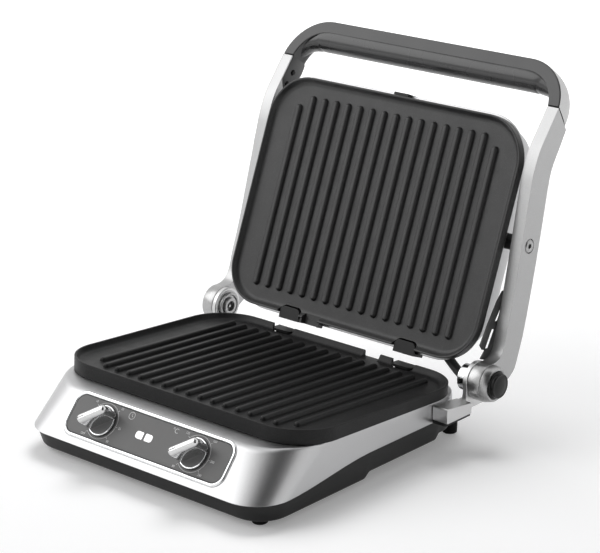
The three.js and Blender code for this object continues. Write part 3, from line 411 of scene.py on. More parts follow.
def studioFloor():
    # pale paint that keeps shadows; what the camera and mirrors see fades to white with distance
    floor = {"colour": (0.88, 0.88, 0.885), "dark": (0.87, 0.87, 0.875), "light": (0.89, 0.89, 0.895),
             "near": 0.20, "far": 0.9, "from": 0.75, "to": 2.0}
    material, tree, shader = startMaterial("studioFloorPaint", floor["colour"], 0.9)
    distance = addNode(tree, "VectorMath", {0: addNode(tree, "TexCoord", {})["Object"]}, "LENGTH")["Value"]
    fade = spread(tree, distance, floor["near"], floor["far"], floor["from"], floor["to"])
    glow = addNode(tree, "Math", {0: fade, 1: seenRays(tree)}, "MULTIPLY")[0]
    feed(tree, shader, {"Base Color": mixed(tree, noise(tree, 3, 2), floor["dark"], floor["light"]),
                        "Emission Color": rgba(1), "Emission Strength": glow})
    return material


coatUpper = nonStickCoating("coatUpper", (0.018, 0.018, 0.0183), (0.028, 0.028, 0.0283), (0.17, 0.17, 0.172), 0.42, 0.5)
# the lower plate has the same coating as the upper one, painted darker with dimmer flecks and a weaker specular:
# painted shade
coatLowerPaintedShade = nonStickCoating("coatLowerPaintedShade", (0.0065, 0.0065, 0.0067), (0.0105, 0.0105, 0.0107), (0.08, 0.08, 0.082),
                            0.46, 0.25)
silverShell = grainedMetal("silverShell", (0.475, 0.475, 0.48), (0.535, 0.535, 0.54), 0.36, 0.10, 2200)
castSilver = grainedMetal("castSilver", 0.40, (0.47, 0.47, 0.472), 0.40, 0.12, 1500)
bracketSilver = grainedMetal("bracketSilver", 0.56, 0.66, 0.36, 0.12, 1500)
bandSilver = grainedMetal("bandSilver", 0.56, 0.66, 0.58, 0.12, 1500)
turnedSteel = grainedMetal("turnedSteel", 0.30, 0.50, 0.30, 0.1, 700, (14, 1, 1))
polishedChrome = grainedMetal("polishedChrome", (0.76, 0.77, 0.78), (0.84, 0.845, 0.85), 0.09, 0.01, 120)
knobSilver = grainedMetal("knobSilver", 0.62, 0.70, 0.13, 0.04, 1600)
elementSheath = grainedMetal("elementSheath", (0.09, 0.08, 0.075), (0.16, 0.15, 0.14), 0.6, 0.3, 400)
reflectorPan = grainedMetal("reflectorPan", (0.50, 0.50, 0.51), (0.66, 0.66, 0.67), 0.35, stretch=(1, 8, 1))
greyPanel = grainedPlastic("greyPanel", 0.118, (0.136, 0.135, 0.134), 0.42, 1800, 0.06)
dialFace = grainedPlastic("dialFace", 0.105, (0.125, 0.125, 0.124), 0.36, 1800, 0.05)
dialBlack = grainedPlastic("dialBlack", (0.008, 0.008, 0.0085), 0.013, 0.30, 1500, 0.05)
blackPlastic = grainedPlastic("blackPlastic", (0.006, 0.006, 0.0062), (0.010, 0.010, 0.0102), 0.46, specular=0.35)
glossBlack = grainedPlastic("glossBlack", 0.003, 0.005, 0.2, 300, 0.01, 0.0, 0.25)
markBlack = grainedPlastic("markBlack", 0.008, 0.012, 0.5)
footRubber = grainedPlastic("footRubber", 0.005, 0.009, 0.8, 700, 0.3, 0.0, 0.2)
handleGrey = grainedPlastic("handleGrey", (0.024, 0.024, 0.0245), (0.032, 0.032, 0.033), 0.36, 2200, 0.10, 0.25)
gripGrey = grainedPlastic("gripGrey", (0.022, 0.022, 0.0225), (0.030, 0.030, 0.031), 0.27, 1600, 0.04, 0.3, 0.5)
guideGrey = grainedPlastic("guideGrey", 0.060, 0.078, 0.42, 1500, 0.12)
wovenSleeve = grainedPlastic("wovenSleeve", 0.012, 0.026, 0.55, 900, 0.4)
printPaint = grainedPlastic("printPaint", 0.72, 0.80, 0.6, 900, 0.0)
cardPaint = grainedPlastic("cardPaint", 0.018, 0.022, 0.9, 5, 0.0)
windowGlow = glowingLens()
floorPaint = studioFloor()
print("materials made")


# Cooking plates
plate = {"half": 145.0, "depth": 219.0, "corner": 42.0, "hingeCorner": 37.0, "rim": 1.7, "bowl": 5.3, "slope": 3.4,
         "wall": 3.0, "floor": 2.0, "rimRound": 0.7, "floorRound": 3.0, "edge": 0.55,
         "skirtRear": 9.5, "skirtFront": 13.0, "upperSkirt": 8.3}
ribs = {"count": 17, "pitch": 14.2, "start": 18.1, "end": 202.4, "shorter": 10.0, "widest": 3,
        "profile": [(3.9, -6.2), (3.75, -5.35), (3.45, -5.1), (3.25, -4.5), (3.0, -3.5), (2.6, -2.75), (2.05, -2.25),
                    (1.35, -1.95), (0.6, -1.85)]}
clips = {"upper": (-64.0, 72.0), "lower": (-67.0, 75.0), "width": 23.0, "reach": 6.6, "gap": 1.3, "corner": 5.0,
         "tail": 5.0, "sheet": 2.4, "sink": 2.6, "foot": {"upper": 15.1, "lower": 7.1},
         "footReach": {"upper": 4.7, "lower": -0.2}}
spout = {"centre": -37.5, "width": 23.0, "reach": 4.5, "wall": 2.2, "rise": 4.5}
drain = {"centre": 39.0, "width": 18.0, "reach": 13.5}


def plateRing(side, inset, height, steps=14):
    low = inset if side > 0 else inset - plate["depth"]
    high = plate["depth"] - inset if side > 0 else -inset
    near = (plate["hingeCorner"] if side > 0 else plate["corner"]) - inset
    return ringPoints(plate["half"] - inset, low, high, near, height, plate["corner"] - inset, steps=steps)


def spanOf(side, near, far):
    return (near, far) if side > 0 else (-far, -near)


def blockPoints(centre, half, low, high, nearCorner, farCorner, height, steps=6):
    return [p + Vector((centre, 0, 0)) for p in ringPoints(half, low, high, nearCorner, height, farCorner, steps=steps)]


def boxPart(name, x0, x1, y0, y1, z0, z1, placing, corner=0.3):
    half, centre = (x1 - x0) / 2, (x0 + x1) / 2
    return loft(name, [blockPoints(centre, half, y0, y1, corner, corner, z, 3) for z in (z0, z1)], placing)


def lowerSkirt(y):
    return -plate["skirtRear"] + (plate["skirtFront"] - plate["skirtRear"]) * y / plate["depth"]


def clipNotch(side, centre, placing):
    low, high = spanOf(side, -3, clips["reach"] + clips["gap"])
    corner = clips["corner"] + clips["gap"]
    corners = (0.3, corner) if side > 0 else (corner, 0.3)
    half = clips["width"] / 2 + clips["gap"]
    return loft("notch", [blockPoints(centre, half, low, high, *corners, z) for z in (-18, 3)], placing)


def ribRings(side):
    chains = []
    for i in range(ribs["count"]):
        outer = i in (0, ribs["count"] - 1)
        x = (i - (ribs["count"] - 1) / 2) * ribs["pitch"]
        wide = ribs["profile"][ribs["widest"]][0]
        low, high = spanOf(side, ribs["start"] + wide, ribs["end"] - wide - (ribs["shorter"] if outer else 0))
        chains.append([blockPoints(x, w, low - w, high + w, w, w, z, 8) for w, z in ribs["profile"]])
    return chains


def buildPlate(name, side, skirt, placing, cutters=(), extra=()):
    under = -plate["bowl"] - plate["floor"]
    toe = plate["rim"] + plate["slope"]
    section = [(plate["wall"], under), (plate["wall"], skirt), (0, skirt), (0, 0), (plate["rim"], 0),
               (toe, -plate["bowl"]), (toe + 8, -plate["bowl"])]
    rings = [plateRing(side, inset, height) for inset, height in section]
    rims = plate["rimRound"]
    body = loft(name, roundedChain(rings, [0, 0.4, 0.6, rims, rims, plate["floorRound"], 0], 5), placing)
    notches = [clipNotch(side, centre, placing) for centre in clips["upper" if side > 0 else "lower"]]
    combine(body, list(cutters) + notches)
    if extra:
        combine(body, list(extra), "UNION")
    bakeBevel(body, plate["edge"], 2, 48)
    ribMesh = finishMesh("ribs", *joinParts([loftParts(rings) for rings in ribRings(side)]), placing)
    combine(body, [ribMesh], "UNION", 28)
    return evenNormals(body)


bowlFloor, bowlUnder = -plate["bowl"], -plate["bowl"] - plate["floor"]
drainLow, drainHigh = drain["centre"] - drain["width"] / 2, drain["centre"] + drain["width"] / 2
drainCut = boxPart("drainCut", drainLow, drainHigh, -drain["reach"], 3, bowlFloor, 3, lowerFrame, 0.5)
lowerPlate = buildPlate("lowerPlate", -1, lowerSkirt, lowerFrame, [drainCut])
# the lower plate wears the coating painted darker as painted shade
dress(lowerPlate, coatLowerPaintedShade, "lower_plate", ["lower_grill_plate"])

spoutLow, spoutHigh = spout["centre"] - spout["width"] / 2, spout["centre"] + spout["width"] / 2
spoutInside = (spoutLow + spout["wall"], spoutHigh - spout["wall"])
spoutBody = boxPart("spoutBody", spoutLow, spoutHigh, -spout["reach"], plate["wall"], bowlUnder,
                    bowlFloor + spout["rise"], headFrame, 0.8)
combine(spoutBody, [boxPart("spoutHole", *spoutInside, -spout["reach"] - 2, plate["wall"] + 2, bowlFloor, 3,
                            headFrame)])
rimCut = boxPart("rimCut", *spoutInside, -3, plate["rim"] + plate["slope"], bowlFloor, 3, headFrame)
upperPlate = buildPlate("upperPlate", 1, -plate["upperSkirt"], headFrame, [rimCut], [spoutBody])
dress(upperPlate, coatUpper, "upper_plate", ["upper_grill_plate"])
print("plates made")


# Lower housing, a folded sheet shell with a sloping front
shell = {"half": 142.0, "topCorner": 50.0, "shoulderCorner": 46.0, "bottomCorner": 34.0, "rearCorner": 34.0,
         "rear": 4.5, "wall": 2.2, "ledge": 14.0, "shoulder": 3.4, "drop": 1.9, "frontBottom": 21.6, "rearBottom": 30.6,
         "riseFrom": -236.0, "riseTo": -128.0, "rimHeight": 57.9, "seat": 0.3, "edgeRound": 4.2, "shoulderRound": 1.6,
         "breakEnd": -90, "breakShares": (0.08, 0.16, 0.24, 0.32, 0.4, 0.48, 0.56, 0.64, 0.72, 0.8, 1.0)}
panel = {"back": -251.5, "height": 40.0, "half": 90.5, "low": -14.2, "high": 21.2, "corner": 9.0, "sheet": 1.6,
         "face": 0.5}
slope, tilt = math.radians(places["panelSlope"]), math.radians(-places["lowerTilt"])


def easedStep(y, fromY, toY, low, high):
    t = min(max((y - fromY) / (toY - fromY), 0), 1)
    return low + (high - low) * t * t * (3 - 2 * t)


def slopeBack(height, inset=0.0):
    return panel["back"] + (height - panel["height"]) / math.tan(slope) + inset / math.sin(slope)


def bottomAt(y):
    return easedStep(y, shell["riseFrom"], shell["riseTo"], shell["frontBottom"], shell["rearBottom"])


def ledgeAt(y):
    return shell["rimHeight"] - y * math.tan(tilt) + lowerSkirt(y) - shell["seat"]


shoulderFront = -plate["depth"] - shell["shoulder"]
edgeHeight = ledgeAt(shoulderFront) - shell["drop"]


def topAt(y):
    if y >= shoulderFront:
        return ledgeAt(y)
    share = (y - slopeBack(edgeHeight)) / (shoulderFront - slopeBack(edgeHeight))
    return edgeHeight + share * (ledgeAt(shoulderFront) - edgeHeight)


def sideBreaks(arcEnd):
    # points along the straight sides, closer where the lower edge curves
    return tuple(arcEnd + (shell["breakEnd"] - arcEnd) * share for share in shell["breakShares"])


def shellRing(inset, height, front, corner):
    return ringPoints(shell["half"] - inset, front, shell["rear"] - inset, corner - inset, height,
                      max(shell["rearCorner"] - inset, 0.5), breaks=sideBreaks(front + corner - inset))


def shellOpening(height):
    return ringPoints(plate["half"] - shell["ledge"], shell["ledge"] - plate["depth"], -shell["ledge"],
                      plate["corner"] - shell["ledge"], height, breaks=sideBreaks(plate["corner"] - plate["depth"]))


wall = shell["wall"]
shellRings = [
    shellRing(0, bottomAt, slopeBack(shell["frontBottom"]), shell["bottomCorner"]),
    shellRing(0, topAt, slopeBack(edgeHeight), shell["topCorner"]),
    ringPoints(shell["half"] - wall, shoulderFront, shell["rear"] - wall, shell["shoulderCorner"], topAt,
               shell["rearCorner"], breaks=sideBreaks(shoulderFront + shell["shoulderCorner"])),
    shellOpening(ledgeAt),
    shellOpening(lambda y: ledgeAt(y) - wall),
    shellRing(wall, lambda y: topAt(y) - wall, slopeBack(edgeHeight - wall, wall), shell["topCorner"]),
    shellRing(wall, bottomAt, slopeBack(shell["frontBottom"], wall), shell["bottomCorner"]),
]
shellRadii = [0.5, shell["edgeRound"], shell["shoulderRound"], 0, 0, 0, 0]
shellBody = loft("lowerShell", roundedChain(shellRings, shellRadii, 6, True), baseFrame, closed=True)


def panelRing(grow, height, steps=12):
    return ringPoints(panel["half"] + grow, panel["low"] - grow, panel["high"] + grow, panel["corner"] + grow, height,
                      steps=steps)


panelHole = loft("panelHole", [panelRing(0.8, z) for z in (-6, 4)], panelFrame)
drainHole = boxPart("drainHole", drainLow - 2, drainHigh + 2, -16, -3, 20, 60, baseFrame)
combine(shellBody, [panelHole, drainHole])
evenNormals(shellBody)
dress(shellBody, silverShell, "base", ["lower_housing"])
print("lower shell made")


# Control panel: grey face, chrome bezel, two lit windows
bezel = {"profile": [(0.0, -2.2), (0.0, 0.4), (0.35, 1.15), (1.05, 1.5), (2.0, 1.45), (2.85, 1.1), (3.4, 0.42),
                     (3.4, 0.3), (0.8, 0.3), (0.8, -2.2)],
         "rounds": [0.0, 0.2, 0.4, 0.5, 0.5, 0.4, 0, 0, 0, 0]}
windows = {"width": 8.1, "height": 6.5, "gap": 2.6, "shift": -4.1, "up": 3.1, "corner": 2.9, "innerCorner": 0.9,
           "section": [(0, -1.2), (0, -0.1), (-0.5, 0.25), (-1.6, 0.5)]}
knobs = {"spread": 53.5, "dial": 14.6, "lift": 0.3, "rise": 2.1, "shaft": 3.0, "flutes": 46, "fluteDepth": 0.35,
         "edge": [(2.3, -0.7), (0.75, -0.7), (0.8, -0.3), (1.2, 0.05), (1.7, 0.05), (1.8, -0.15)],
         "turnDeg": 37.5, "length": 29.5, "width": 8.0, "top": 20.0,
         "bar": [(0, -3.6), (-0.35, -2.2), (-1.2, -0.8), (-2.4, -0.1), (-3.4, 0)],
         "mark": {"from": 2.2, "to": 9.2, "half": 0.42, "corner": 0.38, "low": -0.6, "high": 0.03}}


def windowPoints(side, grow, height, steps=6):
    # a rounded square whose outer corners are the rounder ones
    half, tall = windows["width"] / 2 + grow, windows["height"] / 2 + grow
    centre = windows["shift"] + side * (windows["width"] + windows["gap"]) / 2
    outer, inner = windows["corner"] + grow, windows["innerCorner"] + max(grow, 0)
    corners = [(half, tall), (-half, tall), (-half, -tall), (half, -tall)]
    radii = [outer if x * side > 0 else inner for x, y in corners]
    return [Vector((x + centre, y + windows["up"], height)) for x, y in roundCorners(corners, radii, steps)]


def knobPlace(side):
    return shifted(panelFrame, side * knobs["spread"], places["knobUp"])


faceTop = panel["face"]
faceRings = [panelRing(grow, z) for grow, z in ((-0.3, faceTop - panel["sheet"]), (-0.3, faceTop), (-3, faceTop))]
face = loft("panelFace", roundedChain(faceRings, [0, 0.3, 0], 3), panelFrame)
shaftHole = knobs["shaft"] + 0.3
faceTools = [loft("windowHole", [windowPoints(side, 0.3, z) for z in (-4, 3)], panelFrame) for side in (-1, 1)]
faceTools += [lathe("shaftHole", [(shaftHole, -4), (shaftHole, 3)], knobPlace(side), 32) for side in (-1, 1)]
combine(face, faceTools)
dress(face, greyPanel, "base", ["control_panel"])

bezelRings = roundedChain([panelRing(grow, z, 16) for grow, z in bezel["profile"]], bezel["rounds"], 3, True)
bezelRing = loft("panelBezel", bezelRings, panelFrame, closed=True, angle=50)
dress(bezelRing, polishedChrome, "base", ["panel_bezel"])

for side, word in ((-1, "left"), (1, "right")):
    lensRings = [windowPoints(side, grow, faceTop + z) for grow, z in windows["section"]]
    dress(loft("window_" + word, lensRings, panelFrame), windowGlow, "base",
          ["indicator_lens_" + word, "indicator_lamp_" + word])


def buildKnob(word, side, body):
    place = knobPlace(side)
    dial, low, top = knobs["dial"], faceTop + knobs["lift"], faceTop + knobs["rise"]
    rim = []
    for inset, height in ((0.8, low), (0, low + 0.3), (0.1, low + 0.8), (0.9, top - 0.3), (1.1, top - 0.25)):
        ring = []
        for i, (c, s) in enumerate(turns(knobs["flutes"] * 4)):
            r = dial - inset - knobs["fluteDepth"] * (0.5 - 0.5 * math.cos(math.pi * i / 2))
            ring.append(Vector((r * c, r * s, height)))
        rim.append(ring)
    dialBody = loft(word + "Dial", rim, place, angle=60)
    dress(dialBody, dialBlack, body, [word + "_dial", word + "_shaft"])
    edgeRing = lathe(word + "DialEdge", [(dial - inset, top + z) for inset, z in knobs["edge"]], place, 96, closed=True)
    dress(edgeRing, polishedChrome, body)
    faceDisc = lathe(word + "DialFace", [(dial - 1.5, top - 1.2), (dial - 1.5, top - 0.1)], place, 96)
    dress(faceDisc, dialFace, body)

    place = place @ turned(knobs["turnDeg"], "Z")
    half, wide, barTop = knobs["length"] / 2, knobs["width"] / 2, knobs["top"]
    bar = []
    for grow, height in [(0, top - 0.4)] + [(grow, barTop + z) for grow, z in knobs["bar"]]:
        bar.append(ringPoints(half + grow, -wide - grow, wide + grow, max(wide + grow - 0.02, 0.3), height, steps=10))
    grip = loft(word + "Grip", roundedChain(bar, [0, 0.6, 0.6, 0.8, 0.8, 0], 3), place)
    dress(grip, knobSilver, body, [word + "_grip"])

    mark = knobs["mark"]
    near, far = -half + mark["to"], -half + mark["from"]
    outline = [(near, mark["half"]), (far, mark["half"]), (far, -mark["half"]), (near, -mark["half"])]
    outline = roundCorners(outline, mark["corner"], 4)
    markRings = [[Vector((x, y, barTop + z)) for x, y in outline] for z in (mark["low"], mark["high"])]
    dress(loft(word + "Mark", markRings, place), markBlack, body)


buildKnob("timer", -1, "timer_knob")
buildKnob("thermostat", 1, "thermostat_knob")

# Printed dial marks: rings, ticks, generic numbers, a clock and the degree sign
prints = {"ring": 16.3, "from": -133, "to": 137, "line": 0.32, "tick": 2.0, "thick": 0.05, "size": 2.9, "far": 21.2,
          "timer": {-133: "OFF", 176: "5", 137: "10", 46: "20", -4: "25", -46: "30"},
          "thermostat": {-133: "80", 137: "120", 46: "160", -4: "200", -46: "230"},
          "clock": (-26.0, 16.4), "clockRadius": 3.2, "clockLine": 0.45, "hands": [(0, 2.0), (0, 0), (1.3, -0.9)],
          "handLine": 0.4, "degree": (24.8, 16.6), "degreeSize": 6.2}
printHeight = faceTop + 0.01


def flatBand(points, width):
    # a thin raised line through points in the panel's plane
    rings = []
    for i, (x, y) in enumerate(points):
        p, side, thick = Vector((x, y, 0)), sideways(points, i) * (width / 2), prints["thick"]
        rings.append([Vector((q.x, q.y, printHeight + z))
                      for q, z in ((p - side, 0), (p + side, 0), (p + side, thick), (p - side, thick))])
    return loftParts(rings)


def wordMesh(words, x, y, size):
    curve = bpy.data.curves.new("words", "FONT")
    curve.body, curve.size, curve.extrude = words, size, prints["thick"] / 2
    curve.align_x, curve.align_y = "CENTER", "CENTER"
    obj = addObject("words", curve)
    mesh = solvedMesh(obj)
    verts = [Vector((v.co.x + x, v.co.y + y, v.co.z + printHeight + prints["thick"] / 2)) for v in mesh.vertices]
    faces = [tuple(p.vertices) for p in mesh.polygons]
    bpy.data.objects.remove(obj)
    return verts, faces


printParts = []
for word, side in (("timer", -1), ("thermostat", 1)):
    centre, radius = (side * knobs["spread"], places["knobUp"]), prints["ring"]
    printParts.append(flatBand(circlePoints(centre, radius, prints["from"], prints["to"], 90), prints["line"]))
    for angle, label in prints[word].items():
        ends = [polar(centre, r, angle) for r in (radius, radius + prints["tick"])]
        printParts.append(flatBand(ends, prints["line"]))
        printParts.append(wordMesh(label, *polar(centre, prints["far"], angle), prints["size"]))
clockX, clockY = prints["clock"]
hands = [(clockX + x, clockY + y) for x, y in prints["hands"]]
printParts += [flatBand(circlePoints(prints["clock"], prints["clockRadius"], 0, 360, 48), prints["clockLine"]),
               flatBand(hands[:2], prints["handLine"]), flatBand(hands[1:], prints["handLine"]),
               wordMesh("\u00b0C", *prints["degree"], prints["degreeSize"])]
printMesh = finishMesh("panelPrint", *joinParts(printParts), panelFrame, 30)
dress(printMesh, printPaint, "base")
print("panel and knobs made")


# Side outlines are written as back and up, and pushed along X
sideAxes = Matrix(((0, 0, 1, 0), (1, 0, 0, 0), (0, 1, 0, 0), (0, 0, 0, 1)))
sidePlacing = baseFrame @ sideAxes
quarterTurn = Matrix.Rotation(math.pi / 2, 4, "Y")
hinge = {"back": 6.8, "up": 57.7, "eye": 17.0}


def sidePart(name, outline, x0, x1, edge, segments):
    return bakeBevel(extrudeOutline(name, outline, x0, x1, sidePlacing), edge, segments, 40)


def turnedAlongX(name, profile, back=hinge["back"], up=hinge["up"], segments=72, angle=30, closed=False):
    # a profile of radius and x, turned about the hinge line or another line along X
    return lathe(name, profile, shifted(baseFrame, 0, back, up) @ quarterTurn, segments, angle, closed)


def dressPair(part, material, body, node=None):
    # dresses a right-hand part and a mirrored copy of it; node has braces where the hand goes
    mesh = part.data.copy()
    there, back = Matrix.Translation((middleX, 0, 0)), Matrix.Translation((-middleX, 0, 0))
    mesh.transform(there @ Matrix.Diagonal((-1, 1, 1, 1)) @ back)
    mesh.flip_normals()
    left = addObject(part.name.replace("_right", "_left"), mesh)
    for obj, hand in ((left, "left"), (part, "right")):
        dress(obj, material, body, [node.format(hand)] if node else ())


# Base tray: a moulded shell whose underside steps up towards the rear
base = {"half": 139.4, "front": -262.0, "rear": 2.0, "corner": 30.0, "rearCorner": 27.0, "wall": 2.4, "lap": 3.0,
        "tuck": 5, "round": 3.0, "taper": 2.2, "lean": 2.0,
        "levels": [(-400, 4.6), (-132, 4.6), (-123, 9.4), (-35, 9.4), (-29, 14.4), (400, 14.4)],
        "breaks": [-133, -131.5, -130, -128.5, -127, -125.5, -124, -122, -118, -100, -70, -45, -36, -34.5, -33, -31.5,
                   -30, -28.5],
        "bay": {"half": 79.8, "front": -73.0, "top": 24.2, "wall": 2.0, "low": 10.5, "rear": 1.5},
        "leg": {"x": 120, "half": 9.0, "from": -16.0, "to": 17.0, "low": 14.4, "high": 21.5, "corner": 7.5}}


def underside(y):
    for (y0, z0), (y1, z1) in zip(base["levels"], base["levels"][1:]):
        if y <= y1:
            return easedStep(y, y0, y1, z0, z1)
    return base["levels"][-1][1]


def baseRing(inset, height, ahead=0.0):
    return ringPoints(base["half"] - inset, base["front"] + inset + ahead, base["rear"] - inset, base["corner"] - inset,
                      height, base["rearCorner"] - inset, steps=12, breaks=base["breaks"])


def sheetFrom(name, rings, arc, breaks, placing, thickness, angle=40):
    # a skin with a thickness; its last ring is closed strip by strip between mirrored points of its two sides
    verts, faces = loftParts(rings)
    faces = faces[:-2]
    last = len(verts) - len(rings[0])
    right = list(range(3 * arc + breaks, 4 * arc + 2 * breaks)) + list(range(arc))
    left = list(reversed(range(arc, 3 * arc + breaks)))
    for k in range(len(right) - 1):
        faces.append((last + right[k], last + right[k + 1], last + left[k + 1], last + left[k]))
    skin = finishMesh(name, verts, faces, placing, angle)
    sheet = skin.modifiers.new("sheet", "SOLIDIFY")
    sheet.thickness, sheet.offset = thickness * mm, -1
    applyModifiers(skin)
    smoothMesh(skin.data, angle)
    return skin


baseChain = [baseRing(0, lambda y: bottomAt(y) + base["lap"]), baseRing(0, lambda y: bottomAt(y) - base["tuck"]),
             baseRing(base["taper"], underside, base["lean"]), baseRing(base["taper"] + 8, underside, base["lean"])]
baseSkin = roundedChain(baseChain, [0, 2.0, base["round"], 0], 5)
baseTray = sheetFrom("baseTray", baseSkin, 13, len(base["breaks"]), baseFrame, base["wall"], 35)
bay, leg = base["bay"], base["leg"]


def bayBox(name):
    return boxPart(name, -bay["half"], bay["half"], bay["front"], 30, -5, bay["top"], baseFrame)


combine(baseTray, [bayBox("bayCut")])
bayOuter = bay["half"] + bay["wall"]
bayWalls = boxPart("bayWalls", -bayOuter, bayOuter, bay["front"] - bay["wall"], bay["rear"], bay["low"],
                   bay["top"] + bay["wall"], baseFrame)
combine(bayWalls, [bayBox("bayInside")])
combine(baseTray, [bayWalls], "UNION")
legs = [boxPart("leg", x - leg["half"], x + leg["half"], leg["from"], leg["to"], leg["low"], leg["high"], baseFrame,
                leg["corner"]) for x in (-leg["x"], leg["x"])]
combine(baseTray, legs, "UNION", 35)
dress(baseTray, blackPlastic, "base", ["base_pan"])

# Feet; each row has its place along Y and its height
feet = {"x": 120, "rows": {"front": (-243, 6.5), "rear": (8.4, 15.5)}, "radius": 7.2, "sole": 6.6, "edge": 0.8,
        "edgeUp": 0.7}
for row, (y, top) in feet["rows"].items():
    for hand, x in (("left", -feet["x"]), ("right", feet["x"])):
        profile = [(tip, 0.0), (feet["sole"] - feet["edge"], 0.0), (feet["sole"], feet["edgeUp"]),
                   (feet["radius"], top), (tip, top)]
        foot = lathe("foot_%s_%s_pad" % (row, hand), profile, shifted(baseFrame, x, y), 40)
        dress(foot, footRubber, "base", ["foot_%s_%s" % (row, hand)])

# Small parts that keep their CAD solids, with the width of their rounded edges
keptSolids = [(blackPlastic, 0.5, ("drip_tray", "timer_switch", "thermostat", "upper_latch")),
              (blackPlastic, 0, ("pivot_pin_right", "pivot_pin_left")), (footRubber, 0, ("cord_gland",)),
              (reflectorPan, 0, ("lower_heat_pan", "upper_heat_pan")),
              (elementSheath, 0, ("lower_heating_element", "upper_heating_element"))]
for material, edge, nodes in keptSolids:
    for node in nodes:
        solid = paint(frame["nodes"][node], material)
        if edge:
            bevel(solid, edge, 2, 40)

# Hinge brackets: a wing on the housing, a lug behind it and the eye round the pin
bracket = {"inner": 142.3, "eyeInner": 146.6, "eyeOuter": 151.2, "outer": 158.8, "front": -46.4, "break": -14.7,
           "bottom": 34.0, "frontTop": 47.8, "breakTop": 44.6, "postRear": 15.4, "postTop": 44, "eyeFoot": 0.4,
           "wingRounds": [1.6, 1.0, 1.6, 2.0], "wingEdge": 1.5, "eyeFront": [(-9.6, 50), (-11, 41.0)], "eyeEdge": 0.7,
           "lug": [(-14.7, 34.6), (6.2, 36.2), (10.2, 39.5), (6.2, 43.2), (-14.7, 43.6)],
           "lugRounds": [0.5, 4, 3, 4, 0.5], "lugEdge": 1.2, "lugOuter": 151.1}
wingRear, bottom = bracket["break"] + 3, bracket["bottom"]
wingOutline = [(bracket["front"], bottom), (wingRear, bottom), (wingRear, bracket["breakTop"] - 0.4),
               (bracket["front"], bracket["frontTop"])]
wing = sidePart("bracketWing_right", roundCorners(wingOutline, bracket["wingRounds"], 4), bracket["inner"],
                bracket["outer"], bracket["wingEdge"], 4)
lug = sidePart("bracketLug_right", roundCorners(bracket["lug"], bracket["lugRounds"], 5), bracket["inner"] + 1,
               bracket["lugOuter"], bracket["lugEdge"], 4)
eyeFoot = bottom + bracket["eyeFoot"]
postRear = bracket["postRear"]
eyeOutline = [(bracket["break"] + 0.8, eyeFoot), (postRear, eyeFoot), (postRear, bracket["postTop"])]
eyeOutline += circlePoints((hinge["back"], hinge["up"]), hinge["eye"], -52, 195, 40) + bracket["eyeFront"]
eye = sidePart("bracketEye_right", eyeOutline, bracket["eyeInner"], bracket["eyeOuter"], bracket["eyeEdge"], 3)
for part in (wing, eye, lug):
    dressPair(part, bracketSilver, "base", "hinge_bracket_{}")

# Black pads under the wings
pad = {"inner": 141.0, "outer": -2.2, "front": 0.8, "rear": 5, "low": -2.8, "high": 0.4, "corner": 2.0}
padPart = boxPart("bracketPad_right", pad["inner"], bracket["outer"] + pad["outer"], bracket["front"] + pad["front"],
                  bracket["break"] + pad["rear"], bottom + pad["low"], bottom + pad["high"], baseFrame, pad["corner"])
dressPair(padPart, blackPlastic, "base")

# Turned parts of the hinge. The left pin ends in nested rings round a stud in a groove.
pin = {"shaft": 5.5, "end": 163.4, "play": 0.1,
       "rings": [(tip, 143.3), (1.3, 143.3), (1.9, 143.8), (2.1, 146.0), (4.5, 146.0), (4.7, 142.6), (5.1, 142.1),
                 (7.4, 142.1), (8.2, 142.7), (8.5, 145.0), (10.0, 145.0), (10.3, 143.9), (10.7, 143.5), (12.0, 143.5),
                 (12.5, 144.0), (12.7, 145.9), (14.3, 146.0), (14.5, 146.6)],
       "boss": [(tip, 141.0), (6.0, 141.0), (6.0, 137.2), (6.4, 136.9), (11.6, 136.9), (12.2, 137.2), (12.4, 137.8),
                (12.4, 146.3), (tip, 146.3)]}
shaft = [(pin["shaft"], bracket["eyeInner"]), (pin["shaft"], pin["end"]), (tip, pin["end"])]
leftPin = [(radius, -x) for radius, x in pin["rings"] + shaft]
dress(turnedAlongX("hingePinLeft", leftPin), turnedSteel, "base", ["hinge_pin_left"])
rightPin = [(tip, bracket["eyeInner"])] + shaft
dress(turnedAlongX("hingePinRight", rightPin), turnedSteel, "base", ["hinge_pin_right"])
dress(turnedAlongX("hingeBoss", pin["boss"]), polishedChrome, "base", ["hinge_boss"])

# Lid arms with their knuckles
arm = {"outer": 163.7, "thick": 12.0, "lean": 4.1, "from": 80.0, "to": 226.0, "round": 1.0,
       "front": [(9, 74.4), (15.5, 75.0), (21.8, 78.0), (26.4, 84.2), (29.4, 93.0), (32.4, 104.0), (41.2, 131.3),
                 (55.5, 185.7), (63.0, 215.0), (68.6, 234.2), (76.8, 251.6), (89, 267.5), (102.2, 284.3)],
       "back": [(114.8, 262.3), (105.5, 247.4), (95.8, 232.0), (89.6, 214.0), (80, 176.6), (68, 133), (56.2, 94.5),
                (50.8, 80.5), (46.0, 68.0), (41.8, 59.8), (33, 53.4), (15, 43.0)],
       "knuckle": [(16.2, 151.5), (16.8, 151.8), (17.0, 152.4), (17.0, 163.2), (16.7, 163.8), (16.2, 163.95)]}
headPlace = {"back": -0.6, "up": 70.2, "pivotAlong": 114.7, "pivotBehind": 23}
lean = math.radians(leanDegrees)
alongHead, behindHead = headPlace["pivotAlong"], headPlace["pivotBehind"]
pivotBack = headPlace["back"] + alongHead * math.cos(lean) + behindHead * math.sin(lean)
pivotUp = headPlace["up"] + alongHead * math.sin(lean) - behindHead * math.cos(lean)


def leanShift(z):
    return -arm["lean"] * min(max((z - arm["from"]) / (arm["to"] - arm["from"]), 0), 1)


